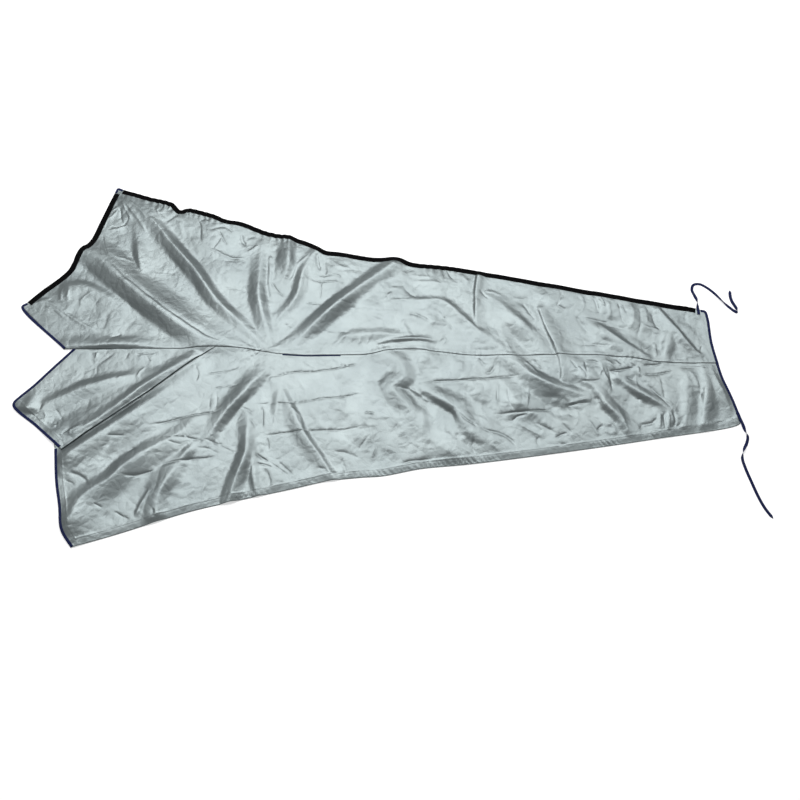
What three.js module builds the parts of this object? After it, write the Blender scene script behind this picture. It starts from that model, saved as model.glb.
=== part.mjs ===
// Boom sail cover of coated cloth, opened out and laid flat on the floor with its outside up.
// The wide mast end is at -X, the narrow aft end at +X, and the centre seam runs along X.
// Units are millimetres, +Z is up, and the origin is at the middle of the cover's footprint on the floor.
import * as THREE from "three";

// Cloth, tape and ribbon sizes
const CLOTH = 2; // thickness of the coated cloth with its hem turnings
const CLEAR = 0.6; // clearance between pieces that are sewn together
const TAPE = { width: 24, thick: 1.6 }; // hook-and-loop closing tape
const BINDING = { leg: 12, thick: 1 }; // tape folded over a raw edge
const TIE = { width: 15, thick: 1.2 }; // flat ribbon
const LAP = 20; // width of the lapped centre seam
const PLEAT = { radius: 4, depth: 65, turnSteps: 4, band: 6 }; // pleat under the lower collar flap
const PLEAT_TAPER = 0.72; // share of the pleat's length over which it stays folded flat on itself
const PLEAT_OPEN = 0.85; // share of its turn that it has lost where it dies out
const PLEAT_DIRECTION = [0.7, -0.714]; // the way the flap's folded edge points

// Mesh steps along edges and folds
const EDGE_STEP = 72;
const FOLD_STEP = 75;
const FILL = { left: -1900, right: 1900, front: -1200, back: 1200, step: 165, shift: 9 };
const LEAST = { crest: 24, side: 22, fill: 85 }; // least distance from the points already placed
const STRAIGHT = 0.2; // sine of the turn below which two edges count as one line
const RIBBON_STEP = TIE.width / 2;

// Lifts above the floor
const BOUND_LIFT = BINDING.thick + CLEAR + 0.2; // room under an edge for the binding's lower leg
const BOUND_REACH = 80; // the lift has died out this far from a bound edge
const LAP_LIFT = CLOTH + CLEAR;
const LAP_REACH = 75;
const PLEAT_MARGIN = 14; // the flap stays at its full lift this far past the hidden fold
const FLAP_REACH = 90;
const OVER_PLEAT = 1.2; // the upper panel rises this much more than the pleat it crosses
const FOLD_BLEND = 4; // folds that cross blend by this power, so the higher one leads

// Long edge of the upper panel, from the aft end of its tape to the peak end
const longEdge = [
  { x: 1704, y: 248 },
  { x: 1465, y: 296 },
  { x: 1170, y: 354 },
  { x: 795, y: 434 },
  { x: 550, y: 484 },
  { x: 390, y: 511 },
  { x: 215, y: 537 },
  { x: 150, y: 566 },
  { x: 10, y: 566 },
  { x: -180, y: 602 },
  { x: -250, y: 612 },
  { x: -330, y: 658 },
  { x: -445, y: 703 },
  { x: -570, y: 735 },
  { x: -720, y: 798 },
  { x: -805, y: 812 },
  { x: -880, y: 850 },
  { x: -965, y: 880 },
  { x: -1025, y: 894 },
  { x: -1072, y: 882 },
  { x: -1112, y: 926 },
  { x: -1250, y: 970 },
  { x: -1404, y: 1023 },
];

// Mast edge of the upper panel, down its tape, with the kink where the big pleat meets it
const frontEdge = [
  { x: -1453, y: 1000 },
  { x: -1505, y: 795 },
  { x: -1548, y: 642 },
  { x: -1568, y: 626 },
  { x: -1600, y: 570 },
  { x: -1625, y: 500 },
  { x: -1662, y: 448 },
  { x: -1745, y: 365 },
  { x: -1812, y: 287 },
];

// Centre line of the lapped seam, from the throat of the collar to the aft end
const seam = [
  { x: -1573, y: 14 },
  { x: -1513, y: 16 },
  { x: -1290, y: 18 },
  { x: -1030, y: 18 },
  { x: -765, y: 26 },
  { x: -655, y: 18 },
  { x: -490, y: -10 },
  { x: -365, y: -20 },
  { x: -140, y: -18 },
  { x: 10, y: -10 },
  { x: 90, y: 10 },
  { x: 225, y: 14 },
  { x: 360, y: 0 },
  { x: 530, y: -20 },
  { x: 1050, y: -18 },
  { x: 1190, y: -22 },
  { x: 1360, y: -42 },
  { x: 1465, y: -60 },
  { x: 1580, y: -65 },
  { x: 1738, y: -66 },
  { x: 1771, y: -66 },
];

// Long edge of the lower panel, from the mast end to the aft end
const lowerEdge = [
  { x: -1370, y: -1035 },
  { x: -1175, y: -975 },
  { x: -835, y: -862 },
  { x: -645, y: -815 },
  { x: -360, y: -750 },
  { x: -200, y: -712 },
  { x: -40, y: -693 },
  { x: 70, y: -685 },
  { x: 255, y: -648 },
  { x: 475, y: -626 },
  { x: 925, y: -566 },
  { x: 1395, y: -494 },
  { x: 1815, y: -420 },
  { x: 1840, y: -400 },
];

// Free aft edge, hollowed a little: below the seam and above it
const aftLower = [
  { x: 1840, y: -400 },
  { x: 1815, y: -272 },
  { x: 1785, y: -160 },
  { x: 1771, y: -56 },
];
const aftUpper = [
  { x: 1771, y: -76 },
  { x: 1769, y: -40 },
  { x: 1761, y: 50 },
  { x: 1763, y: 190 },
  { x: 1755, y: 232 },
];

// The aft binding's stations across the lap of the seam
const aftLap = [
  { x: 1775.2, y: -78 },
  { x: 1772.6, y: -52 },
];

// Lower collar flap: collar edge, tip and mast edge
const flapCollar = [
  { x: -1512, y: 26 },
  { x: -1615, y: -100 },
  { x: -1695, y: -200 },
  { x: -1752, y: -268 },
  { x: -1775, y: -312 },
];
const flapFront = [
  { x: -1775, y: -312 },
  { x: -1640, y: -428 },
  { x: -1504, y: -542 },
];

// Folded edge of that flap, from its corner to where the pleat dies out in the seam
const pleatEdge = [
  { x: -1495, y: -550 },
  { x: -1390, y: -460 },
  { x: -1295, y: -385 },
  { x: -1130, y: -250 },
  { x: -875, y: -32 },
  { x: -765, y: 36 },
];

// Mast edge of the lower panel below the pleat
const lowerFront = [
  { x: -1528, y: -545 },
  { x: -1495, y: -715 },
  { x: -1460, y: -835 },
  { x: -1428, y: -955 },
  { x: -1370, y: -1035 },
];

// Folds: crest line, rise at its start, middle and end, and its reach to the left and right of the crest
const folds = [
  // Upper panel, from the mast end aft
  {
    crest: [[-1545, 610], [-1345, 435], [-1155, 275], [-875, 65], [-650, -15]],
    rise: [14, 38, 6],
    left: 34,
    right: 105,
  },
  {
    crest: [[-1370, 925], [-1130, 710], [-915, 455], [-705, 160], [-520, -10]],
    rise: [5, 30, 6],
    left: 62,
    right: 55,
  },
  { crest: [[-1700, 280], [-1545, 165], [-1390, 90]], rise: [8, 9, 0], left: 60, right: 40 },
  { crest: [[-1350, 180], [-1225, 140], [-1110, 95]], rise: [3, 8, 0], left: 55, right: 45 },
  { crest: [[-1400, 790], [-1290, 620], [-1240, 470]], rise: [3, 9, 2], left: 45, right: 60 },
  { crest: [[-605, 640], [-580, 355], [-545, 170], [-500, 10]], rise: [3, 18, 5], left: 32, right: 60 },
  { crest: [[-435, 670], [-450, 530], [-455, 440], [-495, 360]], rise: [14, 22, 6], left: 34, right: 80 },
  { crest: [[-305, 600], [-365, 460], [-395, 295], [-490, 150]], rise: [9, 18, 2], left: 30, right: 55 },
  {
    crest: [[130, 525], [-35, 410], [-190, 265], [-315, 135], [-410, 0]],
    rise: [16, 28, 5],
    left: 62,
    right: 62,
  },
  { crest: [[-120, 92], [75, 118], [255, 78]], rise: [2, 9, 2], left: 60, right: 45 },
  { crest: [[215, 372], [370, 345], [505, 245], [690, 50]], rise: [3, 12, 3], left: 120, right: 55 },
  { crest: [[575, 450], [560, 300], [562, 170]], rise: [6, 10, 1], left: 60, right: 28 },
  { crest: [[565, 352], [675, 275], [765, 180], [885, -10]], rise: [4, 15, 4], left: 55, right: 90 },
  { crest: [[900, 235], [935, 85], [985, -40], [972, -150]], rise: [4, 11, 3], left: 85, right: 28 },
  { crest: [[1090, 178], [1205, 145], [1335, 18], [1460, -60]], rise: [5, 13, 3], left: 95, right: 45 },
  { crest: [[1250, 320], [1290, 235], [1300, 150]], rise: [7, 9, 1], left: 50, right: 40 },
  { crest: [[1505, 235], [1555, 140], [1628, -5], [1648, -55]], rise: [6, 12, 2], left: 45, right: 75 },
  // Lower panel, from the mast end aft
  {
    crest: [[-1600, -312], [-1450, -235], [-1230, -165], [-960, -40]],
    rise: [8, 18, 4],
    left: 75,
    right: 95,
  },
  {
    crest: [[-1465, -760], [-1320, -720], [-1160, -590], [-1010, -480]],
    rise: [6, 16, 3],
    left: 70,
    right: 105,
  },
  { crest: [[-870, -520], [-925, -660], [-955, -830]], rise: [3, 13, 8], left: 40, right: 45 },
  { crest: [[-790, -560], [-835, -690], [-905, -840]], rise: [3, 10, 6], left: 45, right: 35 },
  {
    crest: [[-510, -45], [-620, -215], [-700, -345], [-810, -525]],
    rise: [5, 21, 4],
    left: 32,
    right: 60,
  },
  { crest: [[-445, -60], [-545, -200], [-610, -320]], rise: [4, 15, 6], left: 45, right: 42 },
  {
    crest: [[-605, -320], [-598, -500], [-635, -660], [-675, -800]],
    rise: [7, 23, 12],
    left: 38,
    right: 60,
  },
  { crest: [[-560, -470], [-540, -600], [-530, -750]], rise: [3, 9, 6], left: 55, right: 40 },
  {
    crest: [[-480, -170], [-410, -305], [-330, -440], [-165, -670]],
    rise: [4, 16, 9],
    left: 28,
    right: 60,
  },
  {
    crest: [[150, -25], [165, -150], [110, -245], [160, -350], [270, -480]],
    rise: [5, 18, 4],
    left: 48,
    right: 85,
  },
  { crest: [[110, -220], [200, -350], [275, -470], [290, -590]], rise: [6, 13, 6], left: 70, right: 32 },
  { crest: [[260, -232], [395, -300], [470, -400], [525, -495]], rise: [3, 14, 6], left: 80, right: 38 },
  { crest: [[640, -40], [750, -95], [880, -145], [1090, -250]], rise: [4, 19, 6], left: 48, right: 62 },
  { crest: [[1160, -140], [1235, -285], [1280, -440]], rise: [4, 17, 6], left: 55, right: 78 },
  {
    crest: [[1250, -165], [1350, -225], [1440, -290], [1540, -385]],
    rise: [3, 12, 6],
    left: 60,
    right: 45,
  },
  { crest: [[1600, -150], [1640, -250], [1605, -390]], rise: [3, 10, 4], left: 40, right: 65 },
  { crest: [[1715, -120], [1740, -225], [1780, -330]], rise: [4, 12, 3], left: 45, right: 55 },
];

// Rolled lower edge of the upper panel, from the throat of the collar to the pleat's end
const roll = {
  crest: [[-1490, 52], [-1400, 52], [-1290, 46], [-1050, 32]],
  rise: [6, 15, 4],
  left: 55,
  right: 95,
};

// Broad low swells between the folds
const swells = [
  { x: -1180, y: 830, reach: 190, rise: 9 },
  { x: -860, y: 690, reach: 170, rise: 8 },
  { x: -1560, y: 330, reach: 130, rise: 8 },
  { x: -820, y: 470, reach: 150, rise: 7 },
  { x: -150, y: 480, reach: 120, rise: 7 },
  { x: 20, y: 250, reach: 150, rise: 6 },
  { x: 330, y: 440, reach: 130, rise: 6 },
  { x: 1000, y: 300, reach: 140, rise: 6 },
  { x: 1400, y: 180, reach: 130, rise: 6 },
  { x: -1380, y: -900, reach: 150, rise: 7 },
  { x: -1120, y: -420, reach: 140, rise: 7 },
  { x: -250, y: -330, reach: 150, rise: 5 },
  { x: 380, y: -520, reach: 120, rise: 6 },
  { x: 720, y: -300, reach: 150, rise: 5 },
  { x: 1000, y: -450, reach: 130, rise: 6 },
  { x: 1450, y: -420, reach: 110, rise: 5 },
];

const clamp01 = (t) => Math.min(1, Math.max(0, t));
const ease = (t) => clamp01(t) ** 2 * (3 - 2 * clamp01(t));
const mix = (a, b, t) => a + (b - a) * t;
const xy = (rows) => rows.map(({ x, y }) => [x, y]);
const apart = ([ax, ay], [bx, by]) => Math.hypot(ax - bx, ay - by);

// Points of a smooth line through the rows, each row kept, with no step longer than the one asked
function smoothLine(points, step) {
  const curve = new THREE.CatmullRomCurve3(
    points.map(([x, y]) => new THREE.Vector3(x, y, 0)),
    false,
    "centripetal",
  );
  const line = [];
  for (let i = 0; i + 1 < points.length; i++) {
    const pieces = Math.ceil(apart(points[i], points[i + 1]) / step);
    for (let j = 0; j < pieces; j++) {
      const { x, y } = curve.getPoint((i + j / pieces) / (points.length - 1));
      line.push([x, y]);
    }
  }
  line.push(points.at(-1));
  return line;
}

// Nearest place on a line: distance, side (1 to the left, -1 to the right, between past an end) and share of
// the line's length
function nearest(line, x, y) {
  let best = { distance: Infinity, side: 1, share: 0 };
  for (let i = 0; i + 1 < line.length; i++) {
    const [ax, ay] = line[i];
    const [dx, dy] = [line[i + 1][0] - ax, line[i + 1][1] - ay];
    const t = clamp01(((x - ax) * dx + (y - ay) * dy) / (dx * dx + dy * dy));
    const distance = Math.hypot(x - ax - t * dx, y - ay - t * dy);
    if (distance < best.distance) {
      const side = (dx * (y - ay) - dy * (x - ax)) / (Math.hypot(dx, dy) * distance || 1);
      best = { distance, side, share: (i + t) / (line.length - 1) };
    }
  }
  return best;
}

// Rise of one fold's cloth at a place
function foldRise(fold, x, y) {
  const reach = Math.max(fold.left, fold.right);
  const { low, high, line } = fold;
  if (x < low[0] - reach || x > high[0] + reach || y < low[1] - reach || y > high[1] + reach) return 0;
  const { distance, side, share } = nearest(line, x, y);
  const across = 1 - ease(distance / mix(fold.right, fold.left, (side + 1) / 2));
  const [start, middle, end] = fold.rise;
  const along = share < 0.5 ? mix(start, middle, ease(2 * share)) : mix(middle, end, ease(2 * share - 1));
  return across * along;
}

function prepareFold(fold) {
  const line = smoothLine(fold.crest, FOLD_STEP);
  const low = [0, 1].map((k) => Math.min(...line.map((p) => p[k])));
  const high = [0, 1].map((k) => Math.max(...line.map((p) => p[k])));
  return { ...fold, line, low, high };
}
const foldLines = folds.map(prepareFold);
const rollLine = prepareFold(roll);

const seamLine = smoothLine(xy(seam), EDGE_STEP);

// The seam's line moved sideways, up the page for a positive amount
function seamRow(amount) {
  return seamLine.map(([x, y], i) => {
    const [ax, ay] = seamLine[Math.max(0, i - 1)];
    const [bx, by] = seamLine[Math.min(seamLine.length - 1, i + 1)];
    const long = Math.hypot(bx - ax, by - ay);
    return [x - ((by - ay) / long) * amount, y + ((bx - ax) / long) * amount];
  });
}
const seamLow = seamRow(-LAP / 2); // edge of the upper panel, on top
const seamHigh = seamRow(LAP / 2); // edge of the lower panel, underneath

const tip = [-1840, 260]; // upper collar tip
const tipStart = [-1816, 283]; // its binding starts here, just past the tape's end
const peak = [-1440, 1035]; // upper front corner
const peakStart = [-1408, 1024]; // the two ends of its binding
const peakEnd = [-1452, 1004];
const aftCorner = [1731, 240]; // where the aft binding starts on the upper panel's long edge
const collarLine = [tip, seamLow[0]];
const boundLines = [
  [tipStart, ...collarLine],
  [peakStart, peak, peakEnd],
  [...xy(flapCollar), ...xy(flapFront)],
  xy(lowerFront),
  [...xy(aftLower), ...xy(aftUpper), aftCorner],
];

// Height of the cloth's underside above the floor, as both panels share it
function ground(x, y) {
  const crossed = foldLines.reduce((sum, fold) => sum + foldRise(fold, x, y) ** FOLD_BLEND, 0);
  const swell = swells.reduce((sum, s) => {
    const r = Math.hypot(x - s.x, y - s.y) / s.reach;
    return sum + (r < 1 ? s.rise * (1 - r * r) ** 2 : 0);
  }, 0);
  const edge = Math.min(...boundLines.map((line) => nearest(line, x, y).distance));
  const lift = BOUND_LIFT * (1 - ease((edge - TAPE.width) / (BOUND_REACH - TAPE.width)));
  return crossed ** (1 / FOLD_BLEND) + swell + lift;
}

// Pleat, by share of its length: how far it turns, how deep it is, how far below the flap the panel lies
const pleatTurn = (share) => Math.PI * (1 - PLEAT_OPEN * ease((share - PLEAT_TAPER) / (1 - PLEAT_TAPER)));
const pleatDepth = (share) => Math.max(2, PLEAT.depth * (1 - share / PLEAT_TAPER));
function pleatDrop(share) {
  const turn = pleatTurn(share);
  return 2 * PLEAT.radius * (1 - Math.cos(turn)) + pleatDepth(share) * Math.sin(turn);
}

const pleatLine = smoothLine(xy(pleatEdge), EDGE_STEP);

// What the pleat's layers raise the flap, and the cloth over it, by
function pleatLift(x, y) {
  const { distance, share } = nearest(pleatLine, x, y);
  return pleatDrop(share) * (1 - ease((distance - pleatDepth(share) - PLEAT_MARGIN) / FLAP_REACH));
}

// Middle of each cloth above the floor
const lowerHeight = (x, y) => CLOTH / 2 + ground(x, y);
const flapHeight = (x, y) => lowerHeight(x, y) + pleatLift(x, y);

function upperHeight(x, y) {
  const seamGap = nearest(seamLine, x, y).distance - LAP / 2;
  const lap = LAP_LIFT * (1 - ease(seamGap / LAP_REACH));
  return lowerHeight(x, y) + OVER_PLEAT * pleatLift(x, y) + lap + foldRise(rollLine, x, y);
}

// Closed outline from named edges, each given as a line and the width of the band along it
function outline(edges) {
  const points = [];
  const widths = [];
  const spans = {};
  for (const { name, line, band } of edges) {
    spans[name] = [points.length, points.length + line.length - 1];
    line.slice(0, -1).forEach((p) => {
      points.push(p);
      widths.push(band);
    });
  }
  const count = points.length;
  // Inner edge of the band, mitred at the corners
  const inner = points.map((p, i) => {
    const before = points[(i + count - 1) % count];
    const after = points[(i + 1) % count];
    const normal = ([ax, ay], [bx, by]) => {
      const long = Math.hypot(bx - ax, by - ay);
      return [-(by - ay) / long, (bx - ax) / long];
    };
    const [n, m] = [normal(before, p), normal(p, after)];
    const [w, v] = [widths[(i + count - 1) % count], widths[i]];
    const cross = n[0] * m[1] - n[1] * m[0];
    if (Math.abs(cross) < STRAIGHT) {
      const width = (w + v) / 2;
      const long = Math.hypot(n[0] + m[0], n[1] + m[1]);
      const reach = (2 * width) / long;
      return [p[0] + ((n[0] + m[0]) / long) * reach, p[1] + ((n[1] + m[1]) / long) * reach];
    }
    return [p[0] + (w * m[1] - v * n[1]) / cross, p[1] + (v * n[0] - w * m[0]) / cross];
  });
  return { points, inner, spans, count };
}

function inside(polygon, [x, y]) {
  let odd = false;
  polygon.forEach(([ax, ay], i) => {
    const [bx, by] = polygon[(i + 1) % polygon.length];
    if (ay > y !== by > y && x < ((bx - ax) * (y - ay)) / (by - ay) + ax) odd = !odd;
  });
  return odd;
}

// Triangles that join scattered points so that no point lies inside another triangle's circle
function delaunay(points) {
  const far = 1e5;
  const all = [...points, [-far, -far], [far, -far], [0, far]];
  const circle = (a, b, c) => {
    const [[ax, ay], [bx, by], [cx, cy]] = [all[a], all[b], all[c]];
    const d = 2 * (ax * (by - cy) + bx * (cy - ay) + cx * (ay - by));
    const [sa, sb, sc] = [ax * ax + ay * ay, bx * bx + by * by, cx * cx + cy * cy];
    const x = (sa * (by - cy) + sb * (cy - ay) + sc * (ay - by)) / d;
    const y = (sa * (cx - bx) + sb * (ax - cx) + sc * (bx - ax)) / d;
    return { corners: [a, b, c], x, y, square: (ax - x) ** 2 + (ay - y) ** 2 };
  };
  const n = points.length;
  let triangles = [circle(n, n + 1, n + 2)];
  points.forEach(([x, y], index) => {
    const rim = new Map();
    triangles = triangles.filter((t) => {
      if ((x - t.x) ** 2 + (y - t.y) ** 2 >= t.square) return true;
      t.corners.forEach((a, k) => {
        const b = t.corners[(k + 1) % 3];
        if (!rim.delete(b + ":" + a)) rim.set(a + ":" + b, [a, b]);
      });
      return false;
    });
    for (const [a, b] of rim.values()) triangles.push(circle(a, b, index));
  });
  return triangles.map((t) => t.corners).filter((corners) => corners.every((c) => c < n));
}

// Points inside a panel: rows across each fold first, then an even fill of the flat parts
function fieldPoints(border) {
  const placed = [...border];
  const add = (p, least) => {
    if (inside(border, p) && placed.every((q) => apart(p, q) >= least)) placed.push(p);
  };
  const rows = [...foldLines, rollLine].flatMap((fold) =>
    fold.line.map((p, i) => {
      const [ax, ay] = fold.line[Math.max(0, i - 1)];
      const [bx, by] = fold.line[Math.min(fold.line.length - 1, i + 1)];
      const long = Math.hypot(bx - ax, by - ay);
      return { p, normal: [-(by - ay) / long, (bx - ax) / long], fold };
    }),
  );
  rows.forEach(({ p }) => add(p, LEAST.crest));
  const shares = [0.5, 1];
  shares.forEach((share) =>
    rows.forEach(({ p, normal, fold }) => {
      [fold.left, -fold.right].forEach((reach) =>
        add([p[0] + normal[0] * reach * share, p[1] + normal[1] * reach * share], LEAST.side),
      );
    }),
  );
  const { left, right, front, back, step } = FILL;
  for (let row = 0; front + row * step < back; row++)
    for (let column = 0; left + column * step < right; column++) {
      const shift = FILL.shift * Math.sin(7.3 * row + 12.1 * column);
      const x = left + (column + (row % 2) / 2) * step + shift;
      add([x, front + row * step + shift], LEAST.fill);
    }
  return placed;
}

// Flat mesh of one panel: a band of quads round its outline, and triangles between the points inside
function chart(edges) {
  const { points, inner, spans, count } = outline(edges);
  const field = fieldPoints(inner);
  const triangles = delaunay(field).filter((corners) => {
    const middle = [0, 1].map((k) => corners.reduce((sum, c) => sum + field[c][k], 0) / 3);
    return inside(inner, middle);
  });
  const faces = triangles.map((corners) => corners.map((c) => c + count));
  const bandFace = (i) => {
    const j = (i + 1) % count;
    return [[i, j, j + count], [i, j + count, i + count]];
  };
  for (let i = 0; i < count; i++) faces.push(...bandFace(i));
  // The inner band points come first among the field points, in the outline's order
  return { points: [...points, ...field], faces, spans, count, bandFace };
}

const lift = (points, height) => points.map(([x, y]) => new THREE.Vector3(x, y, height(x, y)));

// Mean face normal at each point of a sheet
function sheetNormals(points, faces) {
  const normals = points.map(() => new THREE.Vector3());
  for (const [a, b, c] of faces) {
    const ab = points[b].clone().sub(points[a]);
    const ac = points[c].clone().sub(points[a]);
    const normal = ab.cross(ac);
    [a, b, c].forEach((k) => normals[k].add(normal));
  }
  return normals.map((n) => n.normalize());
}

function geometryOf(corners, faces) {
  const positions = faces.flat().flatMap((k) => corners[k].toArray());
  const geometry = new THREE.BufferGeometry();
  geometry.setAttribute("position", new THREE.Float32BufferAttribute(positions, 3));
  geometry.computeVertexNormals();
  return geometry;
}

// Solid between two offsets from a sheet, over some of its faces
function shell(sheet, faces, low, high) {
  const used = [...new Set(faces.flat())];
  const place = new Map(used.map((k, i) => [k, i]));
  const at = (k, offset) => sheet.points[k].clone().addScaledVector(sheet.normals[k], offset);
  const corners = [...used.map((k) => at(k, low)), ...used.map((k) => at(k, high))];
  const top = used.length;
  const solid = [];
  const open = new Map();
  for (const face of faces) {
    const [a, b, c] = face.map((k) => place.get(k));
    solid.push([a + top, b + top, c + top], [a, c, b]);
    [[a, b], [b, c], [c, a]].forEach(([p, q]) => {
      if (!open.delete(q + ":" + p)) open.set(p + ":" + q, [p, q]);
    });
  }
  for (const [p, q] of open.values()) solid.push([p, q, q + top], [p, q + top, p + top]);
  return geometryOf(corners, solid);
}

// Solid swept through sections that all have the same corners, given in order. The second half of each
// section mirrors the first, so the two sides of a twisted strip are split along the same diagonals.
function closedLoft(sections, capFaces) {
  const size = sections[0].length;
  const corners = sections.flat();
  const faces = [];
  const last = (sections.length - 1) * size;
  for (let i = 0; i < last; i += size)
    for (let k = 0; k < size; k++) {
      const [a, b] = [i + k, i + ((k + 1) % size)];
      if (k < size / 2) faces.push([a, b, b + size], [a, b + size, a + size]);
      else faces.push([a, b, a + size], [b, b + size, a + size]);
    }
  capFaces.forEach(([a, b, c]) => faces.push([a, c, b], [a + last, b + last, c + last]));
  return geometryOf(corners, faces);
}

// Binding folded over a panel's edge: upper leg, edge and lower leg in one section
const BINDING_CAPS = [[0, 1, 7], [1, 6, 7], [1, 2, 6], [2, 5, 6], [2, 4, 5], [2, 3, 4]];
function bindingSection(edge, edgeNormal, leg, legNormal, outward) {
  const near = CLOTH / 2 + CLEAR;
  const far = near + BINDING.thick;
  const from = (base, normal, out, offset) =>
    base.clone().addScaledVector(outward, out).addScaledVector(normal, offset);
  return [
    from(leg, legNormal, 0, far),
    from(edge, edgeNormal, CLEAR + BINDING.thick, far),
    from(edge, edgeNormal, CLEAR + BINDING.thick, -far),
    from(leg, legNormal, 0, -far),
    from(leg, legNormal, 0, -near),
    from(edge, edgeNormal, CLEAR, -near),
    from(edge, edgeNormal, CLEAR, near),
    from(leg, legNormal, 0, near),
  ];
}

function binding(sheet, names) {
  const { spans, count } = sheet;
  const [first, last] = [spans[names[0]][0], spans[names.at(-1)][1]];
  const sections = [];
  for (let i = first; i <= last; i++) {
    const k = i % count;
    const edge = sheet.points[k];
    const inner = sheet.points[k + count];
    const share = BINDING.leg / TAPE.width;
    const outward = edge.clone().sub(inner).setZ(0).divideScalar(TAPE.width);
    const legNormal = sheet.normals[k].clone().lerp(sheet.normals[k + count], share).normalize();
    const leg = edge.clone().lerp(inner, share);
    sections.push(bindingSection(edge, sheet.normals[k], leg, legNormal, outward));
  }
  return closedLoft(sections, BINDING_CAPS);
}

function tapeOn(sheet, name) {
  const [first, last] = sheet.spans[name];
  const faces = [];
  for (let i = first; i < last; i++) faces.push(...sheet.bandFace(i));
  const low = CLOTH / 2 + CLEAR;
  return shell(sheet, faces, low, low + TAPE.thick);
}

// Flat ribbon along a route, turned about its length by the roll that each row gives in degrees
function ribbon(route, { width, thick }) {
  const curve = new THREE.CatmullRomCurve3(
    route.map(({ x, y, z }) => new THREE.Vector3(x, y, z)),
    false,
    "centripetal",
  );
  const steps = [];
  for (let i = 0; i + 1 < route.length; i++) {
    const long = Math.hypot(route[i + 1].x - route[i].x, route[i + 1].y - route[i].y);
    const pieces = Math.max(1, Math.round(long / RIBBON_STEP));
    for (let j = 0; j < pieces; j++) {
      const roll = mix(route[i].roll ?? 0, route[i + 1].roll ?? 0, ease(j / pieces));
      steps.push({ t: (i + j / pieces) / (route.length - 1), roll });
    }
  }
  steps.push({ t: 1, roll: route.at(-1).roll ?? 0 });
  const up = new THREE.Vector3(0, 0, 1);
  let side = new THREE.Vector3().crossVectors(up, curve.getTangent(0)).normalize();
  const sections = steps.map(({ t, roll }) => {
    const tangent = curve.getTangent(t);
    side = side.clone().addScaledVector(tangent, -side.dot(tangent)).normalize();
    const across = side.clone().applyAxisAngle(tangent, THREE.MathUtils.degToRad(roll));
    const face = new THREE.Vector3().crossVectors(tangent, across);
    const centre = curve.getPoint(t);
    const under = (Math.abs(across.z) * width + Math.abs(face.z) * thick) / 2;
    centre.z = Math.max(centre.z, under);
    const corner = (s, f) =>
      centre.clone().addScaledVector(across, (s * width) / 2).addScaledVector(face, (f * thick) / 2);
    return [corner(1, 1), corner(-1, 1), corner(-1, -1), corner(1, -1)];
  });
  return closedLoft(sections, [[0, 1, 2], [0, 2, 3]]);
}

function piece(name, geometry, color, roughness) {
  const mesh = new THREE.Mesh(geometry, new THREE.MeshStandardMaterial({ color, roughness, metalness: 0 }));
  mesh.name = name;
  return mesh;
}

// Upper panel, anticlockwise from the throat of the collar
const edge = (name, points, band = TAPE.width) => ({ name, line: smoothLine(points, EDGE_STEP), band });
const upper = chart([
  { name: "seam", line: seamLow, band: LAP },
  edge("aft", xy(aftUpper)),
  edge("aftTop", [xy(aftUpper).at(-1), aftCorner, xy(longEdge)[0]]),
  edge("longTape", xy(longEdge)),
  edge("longTapeEnd", [xy(longEdge).at(-1), peakStart]),
  edge("peakTop", [peakStart, peak]),
  edge("peakFront", [peak, peakEnd]),
  edge("frontTapeStart", [peakEnd, xy(frontEdge)[0]]),
  edge("frontTape", xy(frontEdge)),
  edge("frontTapeEnd", [xy(frontEdge).at(-1), tipStart]),
  edge("tip", [tipStart, tip]),
  edge("collar", collarLine),
]);
const upperPoints = lift(upper.points, upperHeight);
const upperSheet = { ...upper, points: upperPoints, normals: sheetNormals(upperPoints, upper.faces) };

// Lower panel in two charts, its collar flap and its body, joined by the turns of the pleat
const seamStation = (x) => seamLine.findIndex((p) => p[0] > x - 2);
const pleatEnd = seamStation(pleatEdge.at(-1).x);
const flapStart = seamStation(flapCollar[0].x);
const shares = pleatLine.map((_, i) => i / (pleatLine.length - 1));
const hiddenLine = pleatLine.map(([x, y], i) => {
  const turn = pleatTurn(shares[i]);
  const reach = 2 * PLEAT.radius * Math.sin(turn) + pleatDepth(shares[i]) * Math.cos(turn);
  return [x + PLEAT_DIRECTION[0] * reach, y + PLEAT_DIRECTION[1] * reach];
});
pleatLine[pleatLine.length - 1] = seamHigh[pleatEnd];
hiddenLine[hiddenLine.length - 1] = seamHigh[pleatEnd];

const flap = chart([
  { name: "pleat", line: pleatLine, band: PLEAT.band },
  { name: "seam", line: seamHigh.slice(flapStart, pleatEnd + 1).reverse(), band: LAP },
  edge("flapCollar", [seamHigh[flapStart], ...xy(flapCollar).slice(1)]),
  edge("flapFront", xy(flapFront)),
  edge("flapEnd", [xy(flapFront).at(-1), pleatLine[0]]),
]);
const body = chart([
  edge("lowerEdge", xy(lowerEdge)),
  edge("aft", [...xy(aftLower).slice(0, -1), seamHigh.at(-1)]),
  { name: "seam", line: seamHigh.slice(pleatEnd).reverse(), band: LAP },
  { name: "pleat", line: [...hiddenLine].reverse(), band: PLEAT.band },
  edge("frontTop", [hiddenLine[0], xy(lowerFront)[0]]),
  edge("lowerFront", xy(lowerFront)),
]);

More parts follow.
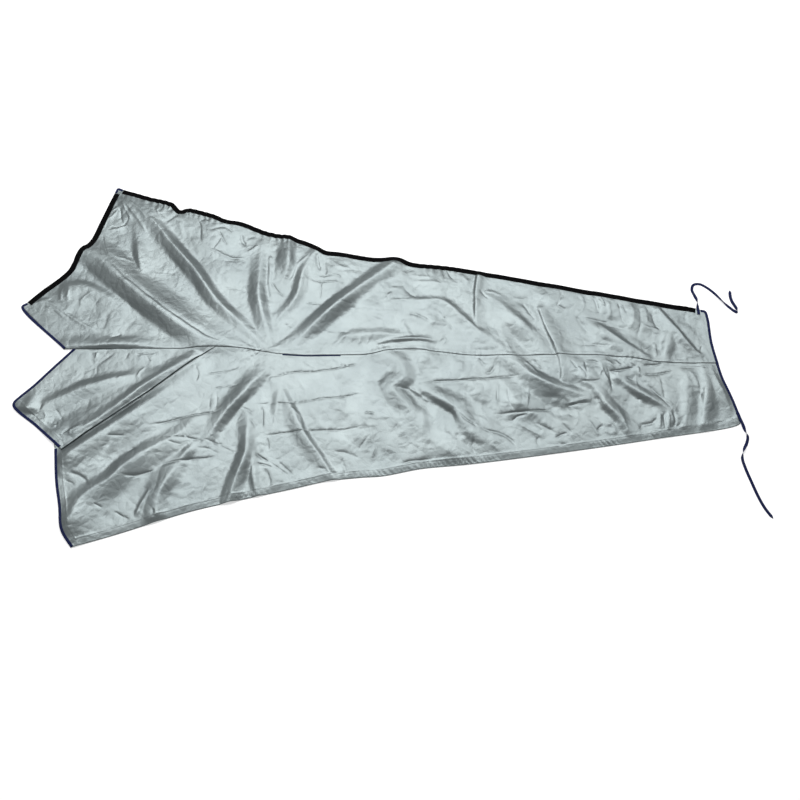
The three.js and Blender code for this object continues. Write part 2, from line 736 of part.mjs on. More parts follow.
// Points through the two turns of the pleat, between the flap's folded edge and the body's hidden edge
function pleatSection(i) {
  const { radius, turnSteps } = PLEAT;
  const turn = pleatTurn(shares[i]);
  const depth = pleatDepth(shares[i]);
  const run = [];
  for (let k = 1; k <= turnSteps; k++) {
    const angle = (turn * k) / turnSteps;
    run.push([radius * Math.sin(angle), radius * (1 - Math.cos(angle))]);
  }
  const [out, down] = run.at(-1);
  const [endOut, endDown] = [out + depth * Math.cos(turn), down + depth * Math.sin(turn)];
  for (let k = 0; k < turnSteps; k++) {
    const angle = turn * (1 - k / turnSteps);
    const [turned, sunk] = [Math.sin(turn) - Math.sin(angle), Math.cos(angle) - Math.cos(turn)];
    run.push([endOut + radius * turned, endDown + radius * sunk]);
  }
  const [x, y] = pleatLine[i];
  const [hx, hy] = hiddenLine[i];
  const drop = pleatDrop(shares[i]);
  return run.map(([across, fall]) => {
    const base = mix(lowerHeight(x, y), lowerHeight(hx, hy), fall / drop);
    const place = [x + PLEAT_DIRECTION[0] * across, y + PLEAT_DIRECTION[1] * across];
    return new THREE.Vector3(...place, base + drop - fall);
  });
}

function joinLowerPanel() {
  const points = [...lift(flap.points, flapHeight), ...lift(body.points, lowerHeight)];
  const bodyStart = flap.points.length;
  const last = pleatLine.length - 1;
  // Every pleat station runs from a point of the flap to a point of the body
  const flapAt = (i) => flap.spans.pleat[0] + i;
  const bodyAt = (i) => bodyStart + body.spans.pleat[1] - i;
  const tail = bodyAt(last);
  const flapEnd = flapAt(last);
  const rows = [];
  for (let i = 0; i < last; i++) {
    const section = pleatSection(i);
    rows.push([flapAt(i), ...section.map((_, k) => points.length + k), bodyAt(i)]);
    points.push(...section);
  }
  // The flap's share of the seam edge and the body's meet in one point
  const swap = (k) => (k === flapEnd ? tail : k);
  const faces = flap.faces.map((face) => face.map(swap));
  faces.push(...body.faces.map((face) => face.map((k) => k + bodyStart)));
  for (let i = 0; i + 1 < rows.length; i++)
    for (let k = 0; k + 1 < rows[i].length; k++) {
      const [a, b, c, d] = [rows[i][k], rows[i][k + 1], rows[i + 1][k + 1], rows[i + 1][k]];
      faces.push([a, b, c], [a, c, d]);
    }
  const end = rows.at(-1);
  for (let k = 0; k + 1 < end.length; k++) faces.push([end[k], end[k + 1], tail]);
  return { points, faces, normals: sheetNormals(points, faces), bodyStart };
}
const lowerSheet = joinLowerPanel();
const flapSheet = { ...flap, points: lowerSheet.points, normals: lowerSheet.normals };
const bodySheet = {
  ...body,
  points: lowerSheet.points.slice(lowerSheet.bodyStart),
  normals: lowerSheet.normals.slice(lowerSheet.bodyStart),
};

// Binding over the aft edge of both panels, wide enough in the lap for both layers
function aftBinding() {
  const up = new THREE.Vector3(0, 0, 1);
  const line = [
    ...smoothLine(xy(aftLower), EDGE_STEP).slice(0, -1),
    ...xy(aftLap),
    ...smoothLine(xy(aftUpper), EDGE_STEP).slice(1),
    aftCorner,
  ];
  const sections = line.map(([x, y], i) => {
    const [ax, ay] = line[Math.max(0, i - 1)];
    const [bx, by] = line[Math.min(line.length - 1, i + 1)];
    const long = Math.hypot(bx - ax, by - ay);
    const outward = new THREE.Vector3((by - ay) / long, -(bx - ax) / long, 0);
    const onUpper = y >= aftLap[0].y;
    const onLower = y <= aftLap[1].y;
    const near = CLOTH / 2 + CLEAR;
    const far = near + BINDING.thick;
    // Heights run straight from the edge to the inner side of the hem, as the cloth's do
    const heights = (inboard) => {
      const [ix, iy] = [x - outward.x * TAPE.width, y - outward.y * TAPE.width];
      const height = (cloth) => mix(cloth(x, y), cloth(ix, iy), inboard / TAPE.width);
      const high = height(onUpper ? upperHeight : lowerHeight);
      const low = height(onLower ? lowerHeight : upperHeight);
      return [high + far, high + near, low - near, low - far];
    };
    const [lx, ly] = [x - outward.x * BINDING.leg, y - outward.y * BINDING.leg];
    const [legTop, legUnder, legOver, legBottom] = heights(BINDING.leg);
    const [top, under, over, bottom] = heights(0);
    const place = (px, py, out, z) => new THREE.Vector3(px, py, z).addScaledVector(outward, out);
    return [
      place(lx, ly, 0, legTop),
      place(x, y, CLEAR + BINDING.thick, top),
      place(x, y, CLEAR + BINDING.thick, bottom),
      place(lx, ly, 0, legBottom),
      place(lx, ly, 0, legOver),
      place(x, y, CLEAR, over),
      place(x, y, CLEAR, under),
      place(lx, ly, 0, legUnder),
    ];
  });
  return closedLoft(sections, BINDING_CAPS);
}

// Ties: sewn to the cloth at the aft corners, then loose on the floor
const onFloor = TIE.thick / 2;
const edgeUp = TIE.width / 2;
const overCloth = (x, y) => upperHeight(x, y) + CLOTH / 2 + CLEAR + TIE.thick / 2;
const overBinding = (x, y) => lowerHeight(x, y) + CLOTH / 2 + 2 * CLEAR + BINDING.thick + TIE.thick / 2 + 0.3;
const upperTieRoute = [
  { x: 1717, y: 212, z: overCloth(1717, 212) },
  { x: 1717, y: 232, z: overCloth(1717, 232) },
  { x: 1717, y: 252, z: overCloth(1717, 240) },
  { x: 1720, y: 288, z: edgeUp, roll: 80 },
  { x: 1712, y: 330, z: onFloor + 2, roll: 175 },
  { x: 1704, y: 365, z: onFloor, roll: 180 },
  { x: 1716, y: 396, z: onFloor, roll: 180 },
  { x: 1748, y: 402, z: onFloor, roll: 180 },
  { x: 1785, y: 380, z: onFloor, roll: 180 },
  { x: 1825, y: 338, z: onFloor, roll: 180 },
  { x: 1856, y: 292, z: onFloor + 4, roll: 140 },
  { x: 1882, y: 262, z: onFloor, roll: 180 },
  { x: 1903, y: 239, z: onFloor, roll: 185 },
  { x: 1918, y: 224, z: edgeUp, roll: 270 },
  { x: 1922, y: 232, z: edgeUp, roll: 270 },
  { x: 1917, y: 258, z: onFloor + 3, roll: 355 },
  { x: 1904, y: 292, z: onFloor, roll: 360 },
  { x: 1900, y: 325, z: onFloor, roll: 360 },
  { x: 1904, y: 362, z: onFloor, roll: 360 },
];
const lowerTieRoute = [
  { x: 1824, y: -350, z: overBinding(1824, -350) },
  { x: 1832, y: -385, z: overBinding(1832, -385) },
  { x: 1840, y: -412, z: overBinding(1838, -396) },
  { x: 1846, y: -450, z: edgeUp, roll: 75 },
  { x: 1856, y: -478, z: onFloor, roll: 170 },
  { x: 1846, y: -512, z: onFloor, roll: 180 },
  { x: 1826, y: -545, z: edgeUp - 2, roll: 230 },
  { x: 1811, y: -590, z: onFloor, roll: 350 },
  { x: 1818, y: -645, z: onFloor, roll: 360 },
  { x: 1835, y: -715, z: onFloor, roll: 360 },
  { x: 1855, y: -790, z: onFloor, roll: 360 },
  { x: 1876, y: -845, z: onFloor, roll: 360 },
  { x: 1905, y: -895, z: onFloor, roll: 360 },
];

const SILVER = 0xaab4b4;
const BLACK = 0x0c0c0d;
const NAVY = 0x1c2560;
const cover = new THREE.Group();
cover.add(
  piece("upper_panel", shell(upperSheet, upperSheet.faces, -CLOTH / 2, CLOTH / 2), SILVER, 0.45),
  piece("lower_panel", shell(lowerSheet, lowerSheet.faces, -CLOTH / 2, CLOTH / 2), SILVER, 0.45),
  piece("long_tape", tapeOn(upperSheet, "longTape"), BLACK, 0.95),
  piece("front_tape", tapeOn(upperSheet, "frontTape"), BLACK, 0.95),
  piece("peak_binding", binding(upperSheet, ["peakTop", "peakFront"]), NAVY, 0.8),
  piece("upper_collar_binding", binding(upperSheet, ["tip", "collar"]), NAVY, 0.8),
  piece("lower_collar_binding", binding(flapSheet, ["flapCollar", "flapFront"]), NAVY, 0.8),
  piece("lower_front_binding", binding(bodySheet, ["lowerFront"]), NAVY, 0.8),
  piece("aft_binding", aftBinding(), NAVY, 0.8),
  piece("upper_tie", ribbon(upperTieRoute, TIE), NAVY, 0.75),
  piece("lower_tie", ribbon(lowerTieRoute, TIE), NAVY, 0.75),
);

export default cover;
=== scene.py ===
# Boom sail cover of coated cloth, laid out flat on the floor. Tables are in millimetres in the part's frame,
# and everything is scaled to metres when its mesh is made.
import math

import bpy
import numpy as np
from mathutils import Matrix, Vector, kdtree
from mathutils.geometry import delaunay_2d_cdt


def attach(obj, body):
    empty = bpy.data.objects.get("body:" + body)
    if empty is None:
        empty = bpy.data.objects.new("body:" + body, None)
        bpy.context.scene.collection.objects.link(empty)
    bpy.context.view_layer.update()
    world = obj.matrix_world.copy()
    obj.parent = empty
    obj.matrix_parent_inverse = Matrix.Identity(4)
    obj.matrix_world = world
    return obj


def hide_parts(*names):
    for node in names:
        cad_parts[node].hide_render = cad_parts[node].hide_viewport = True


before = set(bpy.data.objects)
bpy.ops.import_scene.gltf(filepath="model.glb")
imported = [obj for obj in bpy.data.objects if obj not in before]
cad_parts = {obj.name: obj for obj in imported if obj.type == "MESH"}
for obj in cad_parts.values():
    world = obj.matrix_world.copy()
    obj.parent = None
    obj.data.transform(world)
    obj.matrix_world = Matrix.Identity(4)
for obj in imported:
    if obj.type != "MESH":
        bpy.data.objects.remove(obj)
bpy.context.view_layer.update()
MM = 0.001

# Sizes
CLOTH = 1.1  # thickness of the cloth as drawn
CLEAR = 0.5  # air between pieces that are sewn together
OVER_FLOOR = 0.1  # air under ties and bindings
LAP = 20
HEM = 38  # width of the stitched band along the lower edges

# Tapes: width of each, thickness, and how far inside their sides the stitches are
TAPE = {"long": 27, "front": 30, "thick": 1.6, "margin": 3}
# Bindings: width of a leg, thickness, and how far the stitches are from the leg's inner side
BINDING = {"leg": 12, "thick": 0.9, "margin": 2.5}
# Their section from the under leg to the upper one: distance inward from the edge, and which face
BINDING_SECTION = [
    (12, -1), (6, -1), (1, -1), (-0.7, -0.7), (-1.6, 0), (-0.7, 0.7), (1, 1), (4, 1), (8.4, 1), (12, 1),
]
# Stitches: from one to the next, length, width, and how far their middle is over tape and over cloth
STITCH = {"pitch": 5.2, "length": 3.6, "width": 0.9, "over": 0.1, "over_cloth": 0.15}
STITCH_SECTION = [(0.5, 0.5), (-0.5, 0.5), (-0.5, -0.2), (0.5, -0.2)]  # across and up, in its width
# Rows on the cloth: inside the lap's two edges, below the lap, and from the lower edge
SEAM_STITCHES = {"low": 3, "high": 1, "below": 16}
EDGE_STITCHES = 7
FREE = {"front": 12, "aft": 3, "pleat": 6}  # points of the seam's line that have no stitches

# Ties: width, thickness, the length of their pointed end and the share of the width left at its tip, the
# rows of points along each width, the air under them, and more of it over a binding
TIE = {"width": 15, "thick": 0.9, "point": 16, "tip": 0.15, "rows": 4, "air": 0.05, "more": 0.4}
ACROSS_TIE = (1, 0.5, 0, -0.5, -1)  # points of a row, as shares of half its width

# Pleat: radius and steps of its turns, depth at its front end, least depth, points across its depth, the
# share of its length over which the depth runs out, and how far the turns open after that
PLEAT = {"radius": 2.4, "steps": 6, "depth": 65, "least": 2, "rows": 9, "taper": 0.72, "open": 0.85}
PLEAT_DIRECTION = np.array([0.7, -0.714])
PLEAT_MARGIN = 14  # the flap stays up this far beyond the pleat, and comes down over its reach
FLAP_REACH = 90
OVER_PLEAT = 1.2  # lift of the upper panel over the pleat, against the flap's own

# Lift of the cloth over the lap and into the bindings, and how far each reaches
LAP_LIFT, LAP_REACH, LAP_PUFF = 1.4, 75, 0.9
BOUND_LIFT, BOUND_REACH, BOUND_BAND = 1.8, 80, 24

# Mesh steps
EDGE_STEP = 7
FILL_STEP = 9.3
EDGE_ROWS = (5, 12, 20, 27, 31, 34, 37, 41)
LEAST_GAP = 3.2
FOLD_STEP = 30  # along a fold's crest, for its height
FOLD_ROWS = {"step": 8, "across": 6, "margin": 3}  # rows of points along a fold or crease
ROW_HEIGHT = 0.866  # of a row of even triangles, against their side
FILL_GAP = {"edge": 0.6, "fold": 0.62}  # clear space round the fill, in its steps
EDGE_CLEAR = 0.9  # share of its depth that a row along the outline keeps clear at corners
CORNER = 0.6  # limit to how far an offset is drawn out at a corner
ONE_PLACE = 1e-4  # points closer than this are one
SEAM_MARGIN = 2

# Camera
VIEW = {"place": (0.1517, -2.0926, 3.8881), "tilt": 25, "lens": 38.6, "sensor": 36}

camera = bpy.data.objects.new("camera", bpy.data.cameras.new("camera"))
bpy.context.scene.collection.objects.link(camera)
camera.data.lens = VIEW["lens"]
camera.data.sensor_width = VIEW["sensor"]
camera.location = VIEW["place"]
camera.rotation_euler = (math.radians(VIEW["tilt"]), 0, 0)
bpy.context.scene.camera = camera
bpy.context.scene.view_settings.view_transform = "Standard"

# Edges, x and y
LONG_EDGE = [
    (1704, 248), (1465, 296), (1170, 354), (795, 434), (550, 484), (390, 511), (215, 537), (150, 566),
    (10, 566), (-180, 602), (-250, 612), (-330, 658), (-445, 703), (-570, 735), (-720, 798), (-805, 812),
    (-880, 850), (-965, 880), (-1025, 894), (-1072, 882), (-1112, 926), (-1250, 970), (-1404, 1023),
]
FRONT_EDGE = [
    (-1453, 1000), (-1505, 795), (-1548, 642), (-1568, 626), (-1600, 570), (-1625, 500), (-1662, 448),
    (-1745, 365), (-1812, 287),
]
SEAM = [
    (-1573, 14), (-1513, 16), (-1290, 18), (-1030, 18), (-765, 26), (-655, 18), (-490, -10), (-365, -20),
    (-140, -18), (10, -10), (90, 10), (225, 14), (360, 0), (530, -20), (1050, -18), (1190, -22), (1360, -42),
    (1465, -60), (1580, -65), (1738, -66), (1771, -66),
]
LOWER_EDGE = [
    (-1370, -1035), (-1175, -975), (-835, -862), (-645, -815), (-360, -750), (-200, -712), (-40, -693),
    (70, -685), (255, -648), (475, -626), (925, -566), (1395, -494), (1815, -420), (1840, -400),
]
AFT_LOWER = [(1840, -400), (1815, -272), (1785, -160), (1771, -56)]
AFT_UPPER = [(1771, -76), (1769, -40), (1761, 50), (1763, 190), (1755, 232)]
AFT_CORNER = (1731, 240)
AFT_MIDDLE = (1772, -66)
FLAP_COLLAR = [(-1512, 26), (-1615, -100), (-1695, -200), (-1752, -268), (-1775, -312)]
FLAP_FRONT = [(-1775, -312), (-1640, -428), (-1504, -542)]
PLEAT_EDGE = [(-1495, -550), (-1390, -460), (-1295, -385), (-1130, -250), (-875, -32), (-765, 36)]
LOWER_FRONT = [(-1528, -545), (-1495, -715), (-1460, -835), (-1428, -955), (-1370, -1035)]
TIP, TIP_START = (-1840, 260), (-1816, 283)
PEAK = [(-1408, 1024), (-1440, 1035), (-1452, 1004)]
# Binding that shows under the lap: stretch of the seam, distances below it, and its two faces over the cloth
UNDER_LAP = {"stretch": (-455, -150), "rows": (6, 3, 0, -4), "low": 0.2, "high": 0.8}

# Main folds: crest, rise at its start, middle and end, reach to its left and right, and the form of each
# side, from 0 for a soft slope to 1 for a straight one that ends in a crease
FOLDS = [
    ([(-1560, 600), (-1500, 570), (-1459, 545), (-1289, 385), (-1088, 220), (-892, 84), (-698, 22),
     (-640, -5)], (26, 41, 5), 120, 74, 0.5, 0.95),
    ([(-1370, 945), (-1290, 872), (-1195, 780), (-1094, 660), (-993, 535), (-893, 400), (-794, 272),
     (-696, 168), (-598, 74), (-520, 10)], (4, 27, 6), 44, 52, 0.5, 0.85),
    ([(-1605, 380), (-1540, 385), (-1480, 366), (-1420, 332), (-1340, 285), (-1250, 240)],
     (8, 11, 2), 42, 70, 0.8, 0.2),
    ([(-1592, 530), (-1530, 543), (-1475, 540)], (7, 9, 5), 22, 55, 0.3, 0.5),
    ([(-1300, 760), (-1287, 690), (-1272, 625), (-1257, 565), (-1238, 500), (-1223, 445), (-1203, 395),
     (-1185, 350)], (2, 11, 4), 65, 32, 0.2, 0.7),
    ([(-603, 640), (-603, 520), (-601, 390), (-589, 290), (-565, 190), (-535, 100), (-506, 15)],
     (5, 22, 5), 42, 56, 0.5, 0.9),
    ([(-552, 560), (-548, 470), (-545, 390), (-527, 320)], (3, 6, 2), 22, 22, 0.3, 0.3),
    ([(-450, 682), (-448, 590), (-454, 490), (-468, 436), (-497, 386)], (14, 24, 4), 38, 72, 0.4, 0.7),
    ([(-300, 606), (-345, 540), (-372, 472), (-382, 405), (-393, 335), (-420, 280), (-465, 222),
     (-500, 162)], (8, 17, 3), 46, 38, 0.2, 0.85),
    ([(115, 520), (50, 468), (-48, 383), (-98, 340), (-198, 254), (-297, 150), (-347, 94), (-398, 38),
     (-430, 2)], (16, 29, 5), 64, 54, 0.4, 0.9),
    ([(-135, 86), (-50, 95), (50, 97), (150, 88), (250, 72)], (5, 9, 2), 36, 60, 0.8, 0.1),
    ([(40, 42), (100, 56), (200, 62), (300, 58), (365, 42)], (5, 10, 0), 26, 14, 0.3, 0.9),
    ([(235, 298), (300, 301), (360, 299), (395, 280), (430, 250), (465, 210), (500, 178), (530, 145),
     (570, 104), (620, 54), (680, 12)], (8, 11, 4), 25, 60, 0.7, 0.2),
    ([(565, 448), (557, 400), (550, 330), (549, 250), (550, 160)], (14, 13, 4), 48, 12, 0.2, 0.95),
    ([(600, 330), (655, 300), (705, 245), (762, 180), (805, 120), (862, 45), (888, -20)],
     (3, 12, 4), 42, 80, 0.4, 0.2),
    ([(885, 232), (898, 180), (911, 130), (929, 80), (945, 40), (955, 0), (966, -40), (970, -100),
     (965, -160)], (7, 15, 7), 80, 11, 0.2, 0.95),
    ([(1200, 130), (1250, 90), (1300, 50), (1350, 10), (1402, -32)], (5, 10, 4), 17, 62, 0.9, 0.2),
    ([(1548, 118), (1534, 60), (1516, 0), (1502, -45)], (7, 11, 5), 60, 34, 0.2, 0.8),
    ([(1512, 240), (1542, 190), (1570, 140), (1602, 90), (1632, 40), (1660, 0), (1682, -22)],
     (6, 11, 4), 17, 58, 0.9, 0.2),
    ([(-1560, 24), (-1490, 27), (-1400, 29), (-1290, 28), (-1180, 27), (-1100, 20), (-1040, 8)],
     (6, 13, 2), 62, 24, 0.5, 0),
    ([(-1610, -305), (-1550, -272), (-1500, -247), (-1455, -218), (-1390, -200), (-1300, -172),
     (-1200, -148), (-1100, -124)], (8, 15, 5), 40, 95, 0.8, 0.2),
    ([(-1745, -318), (-1690, -330), (-1640, -338)], (7, 15, 6), 115, 34, 0.7, 0.5),
    ([(-1440, -460), (-1350, -400), (-1300, -358), (-1250, -316), (-1200, -270), (-1150, -220),
     (-1100, -178), (-1000, -103), (-900, -33)], (8, 15, 5), 42, 36, 0.8, 0.8),
    ([(-1445, -572), (-1340, -488), (-1250, -414), (-1090, -284), (-900, -120)],
     (22, 17, 5), 50, 120, 0.6, 0.4),
    ([(-1300, -640), (-1280, -560), (-1245, -500), (-1200, -450)], (2, 8, 3), 34, 44, 0.4, 0.3),
    ([(-1395, -905), (-1385, -860), (-1370, -808), (-1320, -755), (-1235, -702), (-1183, -642),
     (-1133, -600), (-1083, -562), (-1033, -527), (-985, -497), (-930, -457), (-880, -410)],
     (13, 21, 9), 52, 96, 0.9, 0.7),
    ([(-990, -875), (-988, -790), (-968, -722), (-933, -642), (-918, -614)], (15, 16, 4), 78, 42, 0.6, 0.8),
    ([(-1082, -865), (-1056, -800), (-1031, -740), (-1000, -690)], (5, 6, 2), 16, 24, 0.5, 0.5),
    ([(-915, -604), (-885, -558), (-850, -514)], (6, 10, 4), 36, 44, 0.8, 0.3),
    ([(-511, -50), (-547, -138), (-588, -190), (-637, -260), (-687, -322), (-737, -392), (-777, -462),
     (-807, -522)], (5, 23, 4), 40, 68, 0.8, 0.6),
    ([(-490, -62), (-560, -167), (-615, -262), (-650, -332)], (3, 6, 2), 14, 26, 0.4, 0.4),
    ([(-620, -325), (-600, -400), (-596, -480), (-594, -562), (-618, -655), (-646, -745), (-658, -820)],
     (5, 25, 15), 44, 47, 0.6, 0.9),
    ([(-576, -420), (-572, -500), (-563, -600), (-549, -700), (-527, -775)], (3, 11, 8), 36, 27, 0.3, 0.9),
    ([(-455, -180), (-458, -250), (-464, -330), (-460, -440)], (3, 8, 3), 30, 32, 0.3, 0.7),
    ([(-475, -172), (-440, -232), (-410, -292), (-380, -342), (-345, -412), (-300, -492), (-250, -562),
     (-200, -642), (-165, -692)], (4, 16, 9), 24, 66, 0.9, 0.2),
    ([(55, -20), (150, -62), (172, -150), (112, -212), (152, -272), (192, -322), (227, -402), (257, -472)],
     (5, 19, 5), 60, 78, 0.2, 0.7),
    ([(260, -228), (300, -244), (352, -280), (402, -315), (437, -350), (457, -404), (482, -454),
     (502, -478)], (4, 14, 6), 84, 30, 0.2, 0.8),
    ([(262, -330), (264, -400), (266, -470), (268, -580)], (3, 8, 4), 32, 40, 0.6, 0.2),
    ([(650, -38), (745, -80), (800, -138), (870, -184), (940, -214), (1010, -236), (1092, -266)],
     (5, 19, 5), 46, 52, 0.8, 0.8),
    ([(1075, -168), (1122, -204), (1152, -254), (1178, -314), (1216, -354), (1246, -404), (1272, -452)],
     (4, 16, 6), 64, 27, 0.2, 0.9),
    ([(1250, -160), (1300, -202), (1350, -242), (1400, -280), (1445, -313), (1480, -348), (1500, -390)],
     (4, 12, 6), 48, 25, 0.2, 0.9),
    ([(1594, -150), (1584, -250), (1570, -350), (1548, -412)], (3, 8, 5), 60, 32, 0.2, 0.8),
    ([(1690, -95), (1694, -152), (1691, -204), (1682, -254), (1668, -314), (1657, -356), (1642, -408)],
     (4, 13, 6), 72, 24, 0.2, 0.9),
    ([(1735, -105), (1752, -182), (1777, -254), (1792, -325)], (3, 9, 4), 26, 52, 0.7, 0.2),
    ([(1235, -332), (1257, -392), (1270, -452)], (4, 8, 6), 16, 24, 0.5, 0.5),
]

